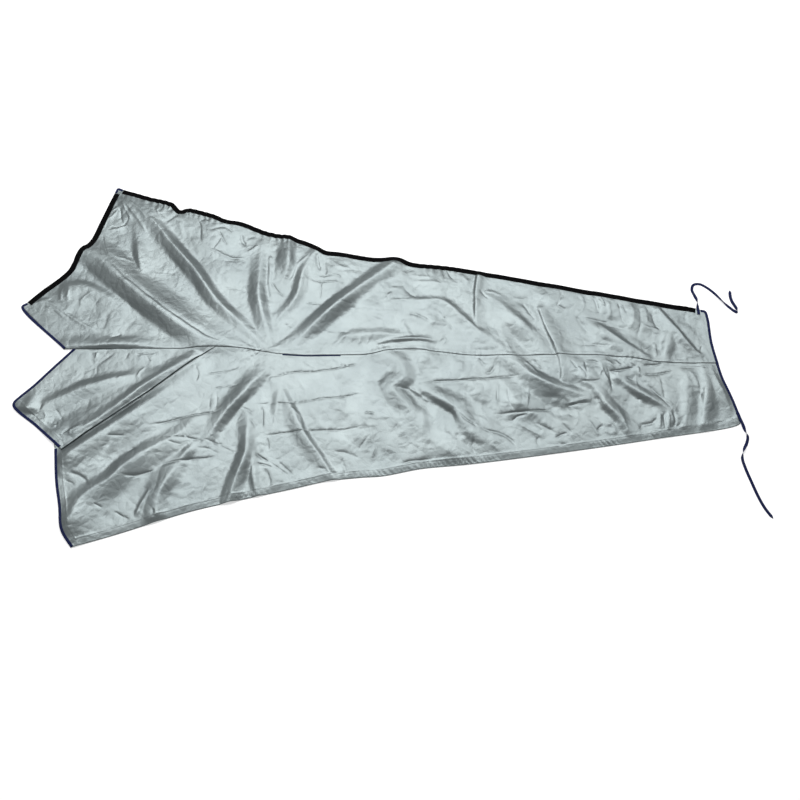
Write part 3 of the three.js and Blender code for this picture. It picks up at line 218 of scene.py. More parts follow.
# Creases: crest or valley, its rise, and its reach to the left and right
CREASES = [
    # Upper panel
    ([(-1447, 566), (-1390, 510), (-1278, 402), (-1178, 318), (-1077, 238), (-981, 168), (-881, 102),
     (-790, 56), (-700, 34)], -5, 18, 7),
    ([(-1770, 300), (-1700, 285), (-1620, 232), (-1540, 180), (-1450, 125), (-1395, 100)], 8, 18, 22),
    ([(-1730, 262), (-1660, 240), (-1600, 190), (-1550, 158)], 4, 10, 12),
    ([(-1800, 262), (-1740, 298), (-1690, 302)], 6, 18, 45),
    ([(-1640, 375), (-1645, 330), (-1632, 290)], 4, 14, 12),
    ([(-1600, 365), (-1605, 320), (-1590, 290)], 4, 12, 14),
    ([(-1520, 240), (-1532, 290), (-1500, 330), (-1465, 352)], 5, 12, 20),
    ([(-1395, 245), (-1380, 190), (-1390, 120)], -3, 14, 20),
    ([(-1450, 290), (-1400, 270), (-1360, 262)], 3, 14, 16),
    ([(-1345, 72), (-1310, 85), (-1285, 98)], -3, 6, 8),
    ([(-1250, 165), (-1180, 130), (-1120, 95)], 5, 22, 22),
    ([(-1405, 955), (-1340, 880), (-1300, 825), (-1255, 755), (-1230, 718)], 5, 9, 14),
    ([(-1405, 945), (-1375, 885), (-1350, 840), (-1335, 805)], 4, 9, 9),
    ([(-1390, 965), (-1330, 915), (-1280, 865), (-1240, 800)], 4, 10, 14),
    ([(-1412, 905), (-1400, 865), (-1396, 825), (-1370, 788)], -4, 6, 7),
    ([(-1350, 835), (-1368, 788), (-1400, 768), (-1450, 780)], -4, 6, 8),
    ([(-1460, 748), (-1405, 760), (-1368, 785)], 5, 8, 14),
    ([(-1455, 870), (-1425, 900), (-1412, 880)], 3, 8, 8),
    ([(-1470, 820), (-1440, 850), (-1420, 885)], 3, 7, 9),
    ([(-1482, 725), (-1462, 655), (-1435, 595), (-1420, 568)], -5, 8, 10),
    ([(-1482, 645), (-1470, 600), (-1455, 572)], -3, 6, 8),
    ([(-1400, 580), (-1350, 560), (-1300, 545), (-1275, 530)], 3, 8, 12),
    ([(-1215, 905), (-1185, 850), (-1140, 790)], 4, 25, 14), ([(-1172, 905), (-1190, 862)], -3, 8, 8),
    ([(-1055, 872), (-1110, 822), (-1150, 790)], -4, 10, 24),
    ([(-1070, 810), (-1050, 740), (-1038, 690)], 3, 20, 20),
    ([(-970, 822), (-942, 762), (-942, 705), (-920, 655)], -6, 8, 14),
    ([(-955, 800), (-925, 822), (-900, 800)], -3, 8, 8),
    ([(-1145, 500), (-1120, 522), (-1095, 535)], -2, 6, 8),
    ([(-1165, 482), (-1095, 472), (-1050, 460)], -2, 5, 7), ([(-1160, 480), (-1165, 380)], -2, 6, 8),
    ([(-905, 735), (-862, 757), (-820, 766), (-790, 755), (-768, 733), (-755, 718)], -5, 12, 12),
    ([(-842, 748), (-822, 700), (-800, 660), (-785, 643)], -5, 7, 8),
    ([(-872, 618), (-850, 652), (-832, 690), (-826, 712)], -4, 7, 8),
    ([(-905, 622), (-850, 610), (-820, 590), (-780, 572), (-750, 560), (-700, 566), (-678, 560)], 6, 8, 11),
    ([(-800, 540), (-750, 545), (-700, 545), (-680, 533)], -4, 8, 9),
    ([(-715, 732), (-712, 690), (-692, 652), (-670, 638)], -6, 10, 14),
    ([(-682, 603), (-650, 622), (-618, 652)], 6, 10, 14),
    ([(-690, 690), (-665, 702), (-645, 705)], -4, 7, 8),
    ([(-800, 382), (-750, 371), (-690, 360), (-650, 345)], -2, 5, 7),
    ([(-330, 590), (-395, 530), (-425, 450), (-450, 405)], 5, 10, 13),
    ([(-540, 420), (-520, 390), (-500, 360), (-478, 340), (-450, 312)], -5, 6, 9),
    ([(-345, 450), (-348, 400), (-345, 350)], 3, 15, 15),
    ([(-298, 600), (-290, 545), (-275, 480)], -7, 8, 14),
    ([(-255, 560), (-252, 500), (-250, 440)], -4, 12, 14),
    ([(-345, 452), (-310, 430), (-280, 416), (-250, 415), (-200, 415), (-150, 405)], -4, 6, 8),
    ([(-302, 472), (-280, 456), (-250, 450), (-200, 460), (-175, 448), (-148, 422)], -4, 6, 8),
    ([(-265, 442), (-270, 380), (-268, 308)], -4, 6, 8),
    ([(-235, 572), (-190, 520), (-150, 500), (-108, 500)], 4, 14, 14),
    ([(-450, 155), (-400, 140)], -2, 5, 6), ([(-350, 285), (-300, 280), (-250, 272)], -3, 5, 7),
    ([(-185, 285), (-100, 272)], -2, 5, 7), ([(-130, 255), (-50, 245), (60, 235)], -2, 5, 7),
    ([(-260, 115), (-180, 110), (-100, 105)], -2, 5, 7), ([(-122, 100), (-158, 52), (-200, 22)], 5, 18, 20),
    ([(-45, 98), (-62, 30)], 3, 10, 10), ([(-5, 95), (-12, 40)], 3, 10, 10),
    ([(352, 42), (372, 72), (390, 60), (374, 34)], 3, 8, 8),
    ([(175, 372), (210, 332), (245, 308)], -5, 9, 11), ([(400, 492), (418, 450), (440, 420)], -5, 6, 9),
    ([(386, 492), (390, 440), (385, 410)], -4, 6, 7), ([(470, 462), (500, 430), (522, 400)], 4, 15, 16),
    ([(150, 490), (200, 487), (232, 496)], -4, 6, 8), ([(200, 460), (280, 440), (330, 440)], 3, 10, 14),
    ([(210, 415), (300, 408), (420, 395)], 3, 12, 14), ([(70, 292), (90, 330), (112, 352)], 4, 7, 9),
    ([(95, 300), (160, 302), (215, 298)], 4, 9, 16), ([(60, 235), (110, 228), (160, 232)], 3, 10, 18),
    ([(100, 392), (140, 388), (180, 392)], -3, 6, 8),
    ([(180, 222), (220, 215), (260, 200), (290, 180), (312, 150)], -5, 8, 12),
    ([(190, 190), (168, 160), (200, 105)], 4, 16, 16), ([(300, 190), (345, 160), (400, 160)], 3, 18, 20),
    ([(350, 250), (380, 205), (392, 180)], 4, 8, 11), ([(405, 160), (420, 130), (430, 110)], -4, 7, 8),
    ([(690, 62), (712, 5), (700, -12)], 4, 14, 14), ([(600, 355), (650, 345), (690, 320)], 4, 11, 12),
    ([(575, 360), (600, 320), (620, 305)], -4, 6, 8),
    ([(788, 292), (822, 240), (850, 195), (865, 175)], -7, 8, 14),
    ([(740, 312), (800, 300), (830, 318)], 4, 18, 14), ([(875, 290), (905, 320), (935, 345)], 4, 16, 16),
    ([(1000, 372), (1010, 330), (992, 292), (980, 268), (1010, 250), (1032, 218)], -5, 8, 10),
    ([(1098, 342), (1120, 300), (1110, 240), (1080, 208)], 5, 12, 14),
    ([(1070, 205), (1090, 170), (1110, 130), (1132, 98)], -7, 11, 12),
    ([(1162, 332), (1180, 300), (1190, 260), (1196, 215)], -7, 10, 12),
    ([(1192, 300), (1232, 262)], 4, 8, 8), ([(1205, 320), (1225, 280), (1228, 250)], 4, 7, 8),
    ([(1100, 192), (1150, 180), (1200, 170), (1242, 160)], -5, 8, 14),
    ([(1050, 32), (1150, 30), (1250, 20)], -3, 9, 10), ([(1300, 302), (1310, 200), (1322, 150)], -5, 8, 10),
    ([(1322, 290), (1342, 200)], -3, 9, 10), ([(1250, 300), (1252, 230), (1255, 180)], 5, 13, 16),
    ([(1370, 290), (1372, 200), (1345, 110)], 6, 18, 22),
    ([(1412, 282), (1412, 200), (1400, 130), (1382, 85), (1370, 42)], -6, 10, 14),
    ([(1438, 272), (1442, 185), (1440, 150)], 5, 13, 16),
    ([(1482, 262), (1476, 200), (1480, 160), (1505, 122), (1545, 118)], -6, 10, 13),
    ([(1400, 142), (1470, 130), (1540, 120)], 4, 10, 26),
    ([(1400, -15), (1440, 20), (1478, 52)], 5, 15, 15), ([(1465, 50), (1462, 0), (1462, -50)], 6, 15, 15),
    ([(1530, 240), (1560, 190)], 3, 8, 8), ([(1650, 232), (1642, 180)], -3, 8, 8),
    ([(1700, 102), (1730, 60), (1765, 28)], -4, 8, 12), ([(1702, 22), (1690, -22)], -4, 8, 8),
    ([(1722, 10), (1735, -40)], 3, 9, 9), ([(1700, 215), (1725, 190)], 4, 8, 8),
    # Lower panel
    ([(-1630, -300), (-1642, -350)], -5, 8, 10),
    ([(-1650, -400), (-1600, -430), (-1560, -470), (-1535, -490)], -5, 8, 9),
    ([(-1560, -445), (-1500, -470), (-1450, -440), (-1400, -425)], 5, 9, 10),
    ([(-1545, -400), (-1540, -435)], -4, 8, 8), ([(-1520, -500), (-1480, -450), (-1440, -440)], -5, 8, 9),
    ([(-1470, -480), (-1460, -440)], 4, 8, 8), ([(-1620, -345), (-1600, -380), (-1640, -400)], 4, 9, 9),
    ([(-1560, -330), (-1510, -400)], -3, 9, 9), ([(-1700, -350), (-1650, -375), (-1630, -395)], -5, 8, 9),
    ([(-1590, -400), (-1560, -420), (-1530, -415)], 4, 8, 8),
    ([(-1430, -2), (-1426, -40), (-1408, -82)], -5, 7, 10), ([(-1402, -5), (-1405, -50)], 4, 7, 8),
    ([(-1300, -5), (-1340, -40), (-1385, -82), (-1425, -112), (-1465, -142)], -5, 8, 14),
    ([(-1240, -12), (-1250, -50)], -3, 8, 8), ([(-1212, -28), (-1150, -18), (-1082, -12)], -4, 6, 8),
    ([(-1395, -85), (-1385, -140)], -2, 6, 7), ([(-1180, -160), (-1165, -125), (-1135, -95)], 4, 8, 10),
    ([(-1145, -35), (-1120, -65)], -3, 7, 8), ([(-1290, -478), (-1240, -476), (-1190, -472)], -3, 5, 7),
    ([(-1450, -665), (-1400, -680), (-1360, -700), (-1335, -735)], -6, 11, 13),
    ([(-1450, -708), (-1400, -730)], -4, 7, 8),
    ([(-1190, -672), (-1150, -682), (-1100, -678), (-1060, -665), (-1025, -655)], -5, 6, 12),
    ([(-1020, -640), (-980, -620), (-930, -608), (-850, -600), (-790, -590), (-730, -580)], -6, 7, 14),
    ([(-1168, -560), (-1148, -542), (-1136, -556)], -5, 7, 8), ([(-1010, -848), (-1002, -895)], -7, 8, 9),
    ([(-1215, -862), (-1238, -892)], -3, 7, 8), ([(-1200, -858), (-1150, -885), (-1110, -900)], -4, 6, 8),
    ([(-1300, -820), (-1250, -845)], -3, 5, 7),
    ([(-1000, -478), (-950, -482), (-870, -490), (-790, -500)], -4, 5, 8),
    ([(-985, -500), (-950, -515), (-910, -522)], -3, 6, 7),
    ([(-890, -80), (-870, -140), (-885, -190)], -4, 8, 10),
    ([(-1100, -420), (-1000, -400), (-900, -370), (-850, -360), (-760, -348), (-720, -330)], -5, 5, 9),
    ([(-655, -557), (-600, -562)], -3, 7, 8), ([(-640, -322), (-600, -337), (-568, -368)], -4, 7, 8),
    ([(-600, -372), (-575, -402), (-552, -440)], -4, 7, 8),
    ([(-535, -312), (-528, -372), (-522, -442)], -6, 8, 14),
    ([(-500, -482), (-492, -515), (-488, -552)], -5, 8, 9), ([(-532, -482), (-522, -562)], 4, 14, 16),
    ([(-768, -722), (-790, -762), (-780, -802), (-762, -822)], 4, 9, 10),
    ([(-762, -832), (-742, -818)], -4, 7, 8), ([(-790, -345), (-800, -292), (-786, -232)], -3, 7, 8),
    ([(-765, -340), (-762, -285), (-770, -225)], -2, 6, 7),
    ([(-830, -482), (-760, -512), (-700, -522)], -3, 6, 7),
    ([(-780, -502), (-720, -532), (-650, -562)], -3, 6, 7),
    ([(-850, -532), (-780, -547), (-720, -572)], -3, 6, 7),
    ([(-800, -225), (-760, -212), (-700, -205), (-650, -190)], -3, 5, 7),
    ([(-850, -142), (-780, -127), (-700, -116), (-640, -92)], -3, 5, 7),
    ([(-800, -170), (-780, -150), (-750, -140)], -2, 6, 7),
    ([(-560, -152), (-480, -150), (-400, -131), (-350, -123), (-300, -126), (-250, -118), (-200, -112),
     (-150, -100), (-60, -75)], -4, 5, 8),
    ([(-600, -305), (-500, -302), (-400, -300), (-350, -298), (-300, -290), (-250, -275), (-200, -272),
     (-100, -260), (-50, -252), (0, -242)], -4, 5, 8),
    ([(-560, -475), (-480, -470), (-400, -458), (-350, -455), (-250, -450), (-200, -448), (-130, -442),
     (-50, -425), (-5, -415)], -4, 5, 8),
    ([(-395, -322), (-350, -366), (-335, -402), (-330, -442)], 5, 16, 12),
    ([(-440, -602), (-400, -642), (-360, -682)], -5, 8, 9),
    ([(-552, -565), (-500, -600), (-480, -612)], -7, 6, 8),
    ([(-480, -612), (-430, -645), (-380, -682)], -4, 7, 8),
    ([(-545, -620), (-500, -627), (-450, -648)], -4, 7, 8),
    ([(-502, -642), (-472, -702), (-462, -742)], -7, 12, 14),
    ([(-132, -592), (-118, -642), (-100, -688)], -7, 9, 12),
    ([(-180, -560), (-120, -562), (-60, -585), (-40, -594)], -5, 8, 12),
    ([(-250, -640), (-210, -650), (-190, -682)], -4, 8, 9),
    ([(0, -402), (15, -482), (25, -542), (10, -622)], 6, 13, 18),
    ([(-32, -362), (-10, -346), (30, -356)], -4, 6, 7), ([(-60, -560), (0, -470)], -2, 6, 7),
    ([(-352, -52), (-300, -92), (-270, -106)], 3, 9, 10), ([(-200, -52), (-150, -92)], -3, 8, 8),
    ([(-162, -60), (-132, -92), (-60, -76)], -3, 6, 8),
    ([(-380, -132), (-340, -202), (-300, -272)], 3, 12, 12),
    ([(-300, -320), (-250, -400), (-200, -460)], 3, 16, 16),
    ([(185, -205), (225, -232), (268, -270), (292, -304)], 7, 13, 12),
    ([(440, -352), (480, -396), (520, -420), (535, -442)], -5, 8, 10),
    ([(140, -310), (150, -340), (145, -382)], -3, 7, 8),
    ([(220, -185), (300, -178), (400, -172), (500, -168), (600, -160), (680, -155), (750, -145),
     (802, -138)], -5, 6, 8), ([(232, -20), (240, -92), (262, -152)], 5, 18, 20),
    ([(312, -20), (300, -102)], -3, 7, 8), ([(470, -60), (468, -120)], 3, 10, 26),
    ([(550, -45), (590, -96)], -6, 7, 9), ([(580, -132), (610, -127), (632, -86)], -7, 9, 11),
    ([(655, -40), (650, -150)], 3, 9, 9), ([(640, -182), (642, -302), (662, -352)], 4, 9, 9),
    ([(690, -202), (700, -302), (722, -347)], -4, 8, 8),
    ([(800, -192), (790, -262), (784, -332)], 5, 9, 13), ([(765, -190), (755, -330)], -2, 8, 8),
    ([(560, -180), (570, -330)], 2, 12, 12), ([(480, -190), (470, -330)], 2, 12, 14),
    ([(530, -425), (580, -447), (620, -457), (660, -472), (700, -502), (720, -542)], -6, 10, 13),
    ([(512, -492), (515, -532), (512, -580)], -8, 6, 18),
    ([(160, -622), (200, -607), (250, -602), (300, -602)], -5, 6, 9),
    ([(640, -560), (600, -520), (620, -500)], 4, 12, 14), ([(780, -56), (830, -112), (860, -162)], 4, 8, 9),
    ([(822, -56), (872, -112)], 4, 8, 8), ([(1020, -60), (1052, -112)], -5, 7, 8),
    ([(1060, -92), (1090, -132), (1095, -172)], -7, 8, 10),
    ([(1098, -62), (1096, -102), (1102, -152)], -5, 6, 8),
    ([(1090, -62), (1140, -62), (1170, -82)], -4, 6, 8),
    ([(1175, -62), (1185, -132), (1212, -202)], 5, 9, 10),
    ([(1200, -62), (1216, -162), (1216, -242)], -6, 9, 10),
    ([(1160, -152), (1170, -122), (1192, -112)], 4, 7, 8),
    ([(620, -358), (700, -352), (800, -345), (850, -340), (900, -335), (945, -325)], -6, 5, 8),
    ([(980, -316), (1050, -302), (1100, -296)], -4, 6, 8),
    ([(1060, -175), (1100, -181), (1180, -166)], -5, 6, 8),
    ([(980, -308), (1050, -285), (1100, -274)], 6, 9, 11),
    ([(700, -402), (730, -373), (780, -362)], -6, 6, 9),
    ([(720, -402), (790, -442), (850, -482)], 5, 18, 14),
    ([(820, -412), (870, -432), (902, -452)], -4, 8, 10),
    ([(975, -302), (990, -342), (1000, -372)], -6, 8, 12),
    ([(1025, -332), (1032, -372), (1010, -432)], 5, 11, 13),
    ([(950, -402), (970, -432), (1002, -472)], -5, 8, 10),
    ([(1080, -382), (1110, -442), (1122, -482)], 5, 10, 12),
    ([(905, -492), (948, -466), (977, -460)], -6, 6, 8), ([(920, -532), (962, -516)], -5, 6, 8),
    ([(825, -482), (820, -522)], -6, 8, 9), ([(1120, -447), (1146, -420)], -7, 8, 12),
    ([(1170, -400), (1200, -430), (1210, -480)], 5, 14, 16),
    ([(1200, -123), (1250, -119), (1300, -109), (1350, -104)], -7, 7, 11),
    ([(1362, -95), (1364, -152)], 5, 8, 9),
    ([(1370, -147), (1410, -142), (1450, -139), (1500, -130), (1550, -122)], -5, 5, 8),
    ([(1380, -92), (1440, -86), (1500, -79)], -5, 7, 6),
    ([(1555, -101), (1650, -98), (1742, -96)], -3, 5, 6),
    ([(1395, -192), (1435, -247), (1478, -294), (1505, -337)], -5, 7, 9),
    ([(1470, -152), (1472, -222), (1476, -292)], -4, 10, 10),
    ([(1822, -360), (1782, -385), (1742, -400), (1700, -406)], -6, 8, 14),
    ([(1262, -292), (1300, -284), (1372, -276)], -5, 7, 13),
    ([(1335, -462), (1347, -417), (1400, -407), (1425, -372)], -7, 10, 14),
    ([(1440, -347), (1435, -402), (1430, -452)], 8, 11, 13), ([(1457, -352), (1459, -452)], -7, 8, 8),
    ([(1482, -352), (1471, -452)], 8, 12, 12), ([(1505, -332), (1511, -402), (1490, -442)], -7, 9, 12),
    ([(1556, -362), (1546, -402), (1500, -442)], -6, 10, 13), ([(1210, -60), (1240, -100)], 4, 8, 9),
    ([(1245, -52), (1275, -98)], 4, 8, 9), ([(1285, -55), (1318, -98)], 4, 8, 9),
    ([(1325, -60), (1352, -96)], 4, 7, 8), ([(1290, -150), (1330, -170)], -3, 8, 8),
    ([(1340, -150), (1345, -220)], 3, 9, 9), ([(1620, -110), (1646, -180), (1650, -260)], 5, 20, 18),
]

# Broad low swells between the folds: x, y, reach and rise
SWELLS = [
    (-1180, 830, 190, 9), (-860, 690, 170, 8), (-1560, 330, 130, 8), (-820, 470, 150, 7), (-150, 480, 120, 7),
    (20, 250, 150, 6), (330, 440, 130, 6), (1000, 300, 140, 6), (1400, 180, 130, 6), (-1380, -900, 150, 7),
    (-1120, -420, 140, 7), (-250, -330, 150, 5), (380, -520, 120, 6), (720, -300, 150, 5),
    (1000, -450, 130, 6), (1450, -420, 110, 5),
]

# Small gathers along the sewn edges: edge, wave length, height, how far they reach into the cloth, and slant
GATHERS = [
    (LOWER_EDGE, 24, 2.6, 46, 0.5), (LOWER_FRONT, 22, 3.8, 44, 0.9), (FLAP_FRONT, 22, 2.0, 34, -0.6),
    (LONG_EDGE, 38, 3.2, 95, 0.3), (FRONT_EDGE, 34, 2.6, 70, -0.2), (SEAM, 27, 1.0, 45, 0.3),
]
GATHER_DRIFT = {"amount": 2.5, "size": 2.5}  # of their spacing, with the size in wave lengths
GATHER_HEIGHT = {"mean": 0.35, "amount": 0.9, "size": 6, "most": 1.2}
GATHER_START = 5

# Stitched bands: rise at the inner edge and step down to the cloth, width of the step, fade beyond it, and
# the groove of the inner stitches: depth, distance from the inner edge and half width
HEMMED = [LOWER_EDGE, LOWER_FRONT, FLAP_FRONT]
BAND = {"rise": 3.4, "step": 2.0, "width": 3, "fade": 45}
GROOVE = {"depth": 0.8, "in": 5, "half": 4}

# Heights and reaches of the folds and creases against their tables
FOLD_RISE, FOLD_REACH = 1.1, 1.28
CREASE_RISE, CREASE_REACH = 0.68, 1.35
CREASE_ROUND = 0.06
SIDE_CREST, SIDE_FOOT = (0.45, 0.08), (0.7, 0.15)  # roundness of a soft side and of a straight one
CROSSING = 4  # how sharply the higher fold wins where two cross
FOLD_WANDER = {"size": 160, "amount": 5, "seed": 11}
CREASE_WANDER = {"size": 60, "amount": 3, "seed": 17}
HIGHEST = 90  # height that the folds come near to
RIDGE_SLOPE = 1.5
SKEW = 0.366  # turns a square grid into even triangles
SCATTER = (127.1, 311.7, 74.7, 43758.5453)  # spreads a place on a grid and a seed from 0 to 1
FLOOR_GAP = 1.2  # under the cloth between its folds

# Crumpled cloth: strength where it is smoothest and most crumpled, how it varies over patches, the middle of
# its height, and what a fold of the given rise takes from it by drawing it tight
SMOOTH, ROUGHEST = 0.42, 1.15
PATCHES = {"mean": 0.85, "amount": 0.4, "size": 150}
CRUMPLE_MEAN = 0.5
TIGHT = {"loss": 0.85, "rise": 9}
SMALL_CREASES = {"height": 0.9, "size": 44}
SMALL_WANDER = {"size": 34, "amount": 9, "seed": 13}
FACET_WANDER = 170
EDGE_SHARE, EDGE_FADE = 0.35, 80  # share of the small creases that is left at the lower edge
BOUND_LOSS = 0.6  # share of them lost at the bindings
# Facets: size, direction in degrees, how much longer that way, height and wander
FACETS = [(120, -35, 2.6, 10.0, 12), (66, -52, 2.4, 4.2, 8), (74, 22, 1.3, 3.0, 12)]
# Facets of the fan: size, how much longer along its rays, height and wander
FAN_FACETS = [(150, 2.4, 9.0, 14), (72, 2.0, 4.6, 9)]
FAN_MIDDLE = np.array([-560, 0])
FAN_TURN = 600
FAN_END = (-750, -150)  # from where to where along x they give way to the others
# Crumpled places: x, y, reach and how much stronger
CRUMPLED = [
    (-1380, 900, 260, 0.5), (-900, 760, 260, 0.6), (-500, 600, 230, 0.5), (-1690, 330, 200, 0.3),
    (-1720, -380, 240, 0.9), (-1500, -800, 320, 0.5), (-900, -700, 300, 0.5), (-500, -450, 320, 0.2),
    (0, -350, 380, 0.4), (450, -350, 380, 0.8), (900, -250, 380, 0.9), (1300, -200, 380, 0.9),
    (1650, -250, 280, 0.5), (250, 160, 330, 0.35), (760, 170, 330, 0.6), (1250, 130, 330, 0.6),
    (1600, 100, 260, 0.6), (0, 380, 250, 0.35), (400, 330, 260, 0.5), (-1250, -330, 250, 0.3),
]

# Looks
SILVER_COLORS = ((0.29, 0.332, 0.336), (0.26, 0.30, 0.306))
SILVER_METAL = 0.82
SILVER_ROUGH = (0.37, 0.45)
TONE_SPAN, WEAR_SPAN = (0.35, 0.65), (0.3, 0.7)  # of the noise that its colour and roughness follow
# Crushed facets of the coating: scale, scale and amount of their wander, height and strength, in metres
CRUSHED = [(9, 5, 0.05, 0.012, 0.3), (24, 12, 0.03, 0.006, 0.3)]
BLACK_COLORS = ((0.0004, 0.0004, 0.0006), (0.003, 0.003, 0.0035))
NAVY_COLORS = ((0.003, 0.007, 0.045), (0.008, 0.016, 0.09))
FLOOR = {"half": 9, "grey": 0.92, "rough": 0.95, "glow": 0.45}  # its half side in metres
WORLD = 0.22

# Lights: name, place, aim, size and power, in metres and watts
LIGHTS = [
    ("middle", (-0.85, 2.9, 5.2), (-0.4, 0.4, 0), (4.5, 4.3), 200),
    ("aft", (3.3, 2.9, 5.2), (1.2, 0.4, 0), (3.8, 4.3), 124),
    ("front", (-3.4, 0.9, 5.2), (-1.3, -0.6, 0), (1.8, 1.8), 46),
]


def ease(t):
    t = np.clip(t, 0, 1)
    return t * t * (3 - 2 * t)


def mix(a, b, t):
    return a + (b - a) * t


def unit(rows):
    return rows / np.linalg.norm(rows, axis=1)[:, None]


def left_of(rows):
    return np.stack([-rows[:, 1], rows[:, 0]], axis=1)


def arc(line):
    """Length walked along a line at each of its points."""
    return np.concatenate([[0], np.cumsum(np.linalg.norm(np.diff(line, axis=0), axis=1))])


def smooth_line(points, step):
    """Points of a smooth line through the rows, each row kept, with no step longer than the one asked."""
    p = np.array(points, float)
    if len(p) > 2:
        q = np.vstack([2 * p[0] - p[1], p, 2 * p[-1] - p[-2]])
    line = []
    for i in range(len(p) - 1):
        pieces = max(1, math.ceil(np.linalg.norm(p[i + 1] - p[i]) / step))
        t = np.arange(pieces)[:, None] / pieces
        if len(p) == 2:
            line.append(mix(p[0], p[1], t))
            continue
        a, b, c, d = q[i : i + 4]
        u, v, w = (math.sqrt(np.linalg.norm(n - m)) for m, n in ((a, b), (b, c), (c, d)))
        start = ((b - a) / u - (c - a) / (u + v) + (c - b) / v) * v
        end = ((c - b) / v - (d - b) / (v + w) + (d - c) / w) * v
        square, cube = 3 * (c - b) - 2 * start - end, 2 * (b - c) + start + end
        line.append(b + start * t + square * t**2 + cube * t**3)
    line.append(p[-1:])
    return np.vstack(line)


def nearest(line, p):
    """Distance, side (1 left, -1 right) and share of the line's length of each point's nearest place."""
    best = np.full(len(p), np.inf)
    side = np.ones(len(p))
    share = np.zeros(len(p))
    last = len(line) - 1
    for i in range(last):
        a, d = line[i], line[i + 1] - line[i]
        r = p - a
        t = np.clip((r @ d) / (d @ d), 0, 1)
        off = r - t[:, None] * d
        distance = np.hypot(off[:, 0], off[:, 1])
        closer = distance < best
        cross = (d[0] * r[:, 1] - d[1] * r[:, 0]) / (np.hypot(*d) * np.maximum(distance, 1e-9))
        best = np.where(closer, distance, best)
        side = np.where(closer, np.clip(cross, -1, 1), side)
        share = np.where(closer, (i + t) / last, share)
    return best, side, share


def from_line(line, p):
    return nearest(np.array(line, float), p)[0]


def from_place(x, y, p):
    return np.hypot(p[:, 0] - x, p[:, 1] - y)


def hash01(i, j, seed):
    n = np.sin(i * SCATTER[0] + j * SCATTER[1] + seed * SCATTER[2]) * SCATTER[3]
    return n - np.floor(n)


def noise(p, size, seed):
    """Smooth noise from -1 to 1 with features of the given size."""
    q = p / size
    cell = np.floor(q)
    f = ease(q - cell)
    i, j = cell[:, 0], cell[:, 1]
    low = mix(hash01(i, j, seed), hash01(i + 1, j, seed), f[:, 0])
    high = mix(hash01(i, j + 1, seed), hash01(i + 1, j + 1, seed), f[:, 0])
    return 2 * mix(low, high, f[:, 1]) - 1


def facets(p, size, seed):
    """Flat facets that meet in creases, from -1 to 1."""
    q = p / size
    s = (q[:, 0] + q[:, 1]) * SKEW
    i, j = np.floor(q[:, 0] + s), np.floor(q[:, 1] + s)
    u, v = q[:, 0] + s - i, q[:, 1] + s - j
    a, b = hash01(i, j, seed), hash01(i + 1, j + 1, seed)
    c = np.where(u > v, hash01(i + 1, j, seed), hash01(i, j + 1, seed))
    big, small = np.maximum(u, v), np.minimum(u, v)
    return 2 * (a * (1 - big) + c * (big - small) + b * small) - 1


def ridges(p, size, seed):
    """Smooth ground with sharp crests, from -1 to 1."""
    return 1 - 2 * np.minimum(1, RIDGE_SLOPE * np.abs(noise(p, size, seed)))


def warp(p, size, amount, seed):
    return p + amount * np.stack([noise(p, size, seed), noise(p, size, seed + 5)], axis=1)


def profile(t, form):
    """Share of a fold's rise at share t of its reach, from a soft slope to a straight one."""
    crest, foot = mix(*SIDE_CREST, form), mix(*SIDE_FOOT, form)
    end = np.sqrt((1 + foot + crest) ** 2 - crest**2)
    h = 1 - np.sqrt((t * end) ** 2 + crest**2) + crest
    return np.where(np.abs(h) < foot, (h + foot) ** 2 / (4 * foot), np.maximum(h, 0))


def only_where(near, values):
    """The values at the points that are near, and nothing at the others."""
    out = np.zeros(len(near))
    out[near] = values
    return out


def near_fold(crest, left, right, p):
    """Which points a fold reaches, and how far each is across it, along it and to which side."""
    line = smooth_line(crest, FOLD_STEP)
    reach = max(left, right)
    low, high = line.min(axis=0) - reach, line.max(axis=0) + reach
    near = np.all((p > low) & (p < high), axis=1)
    distance, side, share = nearest(line, p[near])
    blend = (side + 1) / 2
    return near, distance / mix(right, left, blend), share, blend


def fold_rise(fold, p):
    crest, (first, middle, last), left, right, left_form, right_form = fold
    near, t, share, blend = near_fold(crest, left * FOLD_REACH, right * FOLD_REACH, p)
    to_middle, to_last = mix(first, middle, ease(2 * share)), mix(middle, last, ease(2 * share - 1))
    along = np.where(share < 0.5, to_middle, to_last)
    return only_where(near, profile(t, mix(right_form, left_form, blend)) * along * FOLD_RISE)


def crease_rise(crease, p):
    crest, rise, left, right = crease
    near, t, share, _ = near_fold(crest, left * CREASE_REACH, right * CREASE_REACH, p)
    sharp = np.maximum(0, 1 + CREASE_ROUND - np.sqrt(np.minimum(t, 1) ** 2 + CREASE_ROUND**2))
    return only_where(near, sharp**2 * rise * CREASE_RISE * ease(4 * share) * ease(4 - 4 * share))


def gather_rise(gather, p):
    line, wave, height, reach, slant = gather
    line = np.array(line, float)
    distance, _, share = nearest(line, p)
    near = distance < reach
    d = distance[near]
    s = np.interp(share[near] * (len(line) - 1), np.arange(len(line)), arc(line)) + slant * d
    flat = np.stack([s, np.zeros_like(s)], axis=1)
    drift = GATHER_DRIFT["amount"] * noise(flat, GATHER_DRIFT["size"] * wave, seed=31)
    uneven = GATHER_HEIGHT["amount"] * noise(flat, GATHER_HEIGHT["size"] * wave, seed=37)
    strength = np.clip(GATHER_HEIGHT["mean"] + uneven, 0, GATHER_HEIGHT["most"])
    ripple = height * strength * np.sin(2 * math.pi * s / wave + drift)
    return only_where(near, ripple * ease(d / GATHER_START) * (1 - ease(d / reach)))


seam_line = smooth_line(SEAM, EDGE_STEP)


def seam_row(amount):
    """The seam's line moved sideways, towards the upper panel for a positive amount."""
    return seam_line + amount * left_of(unit(np.gradient(seam_line, axis=0)))


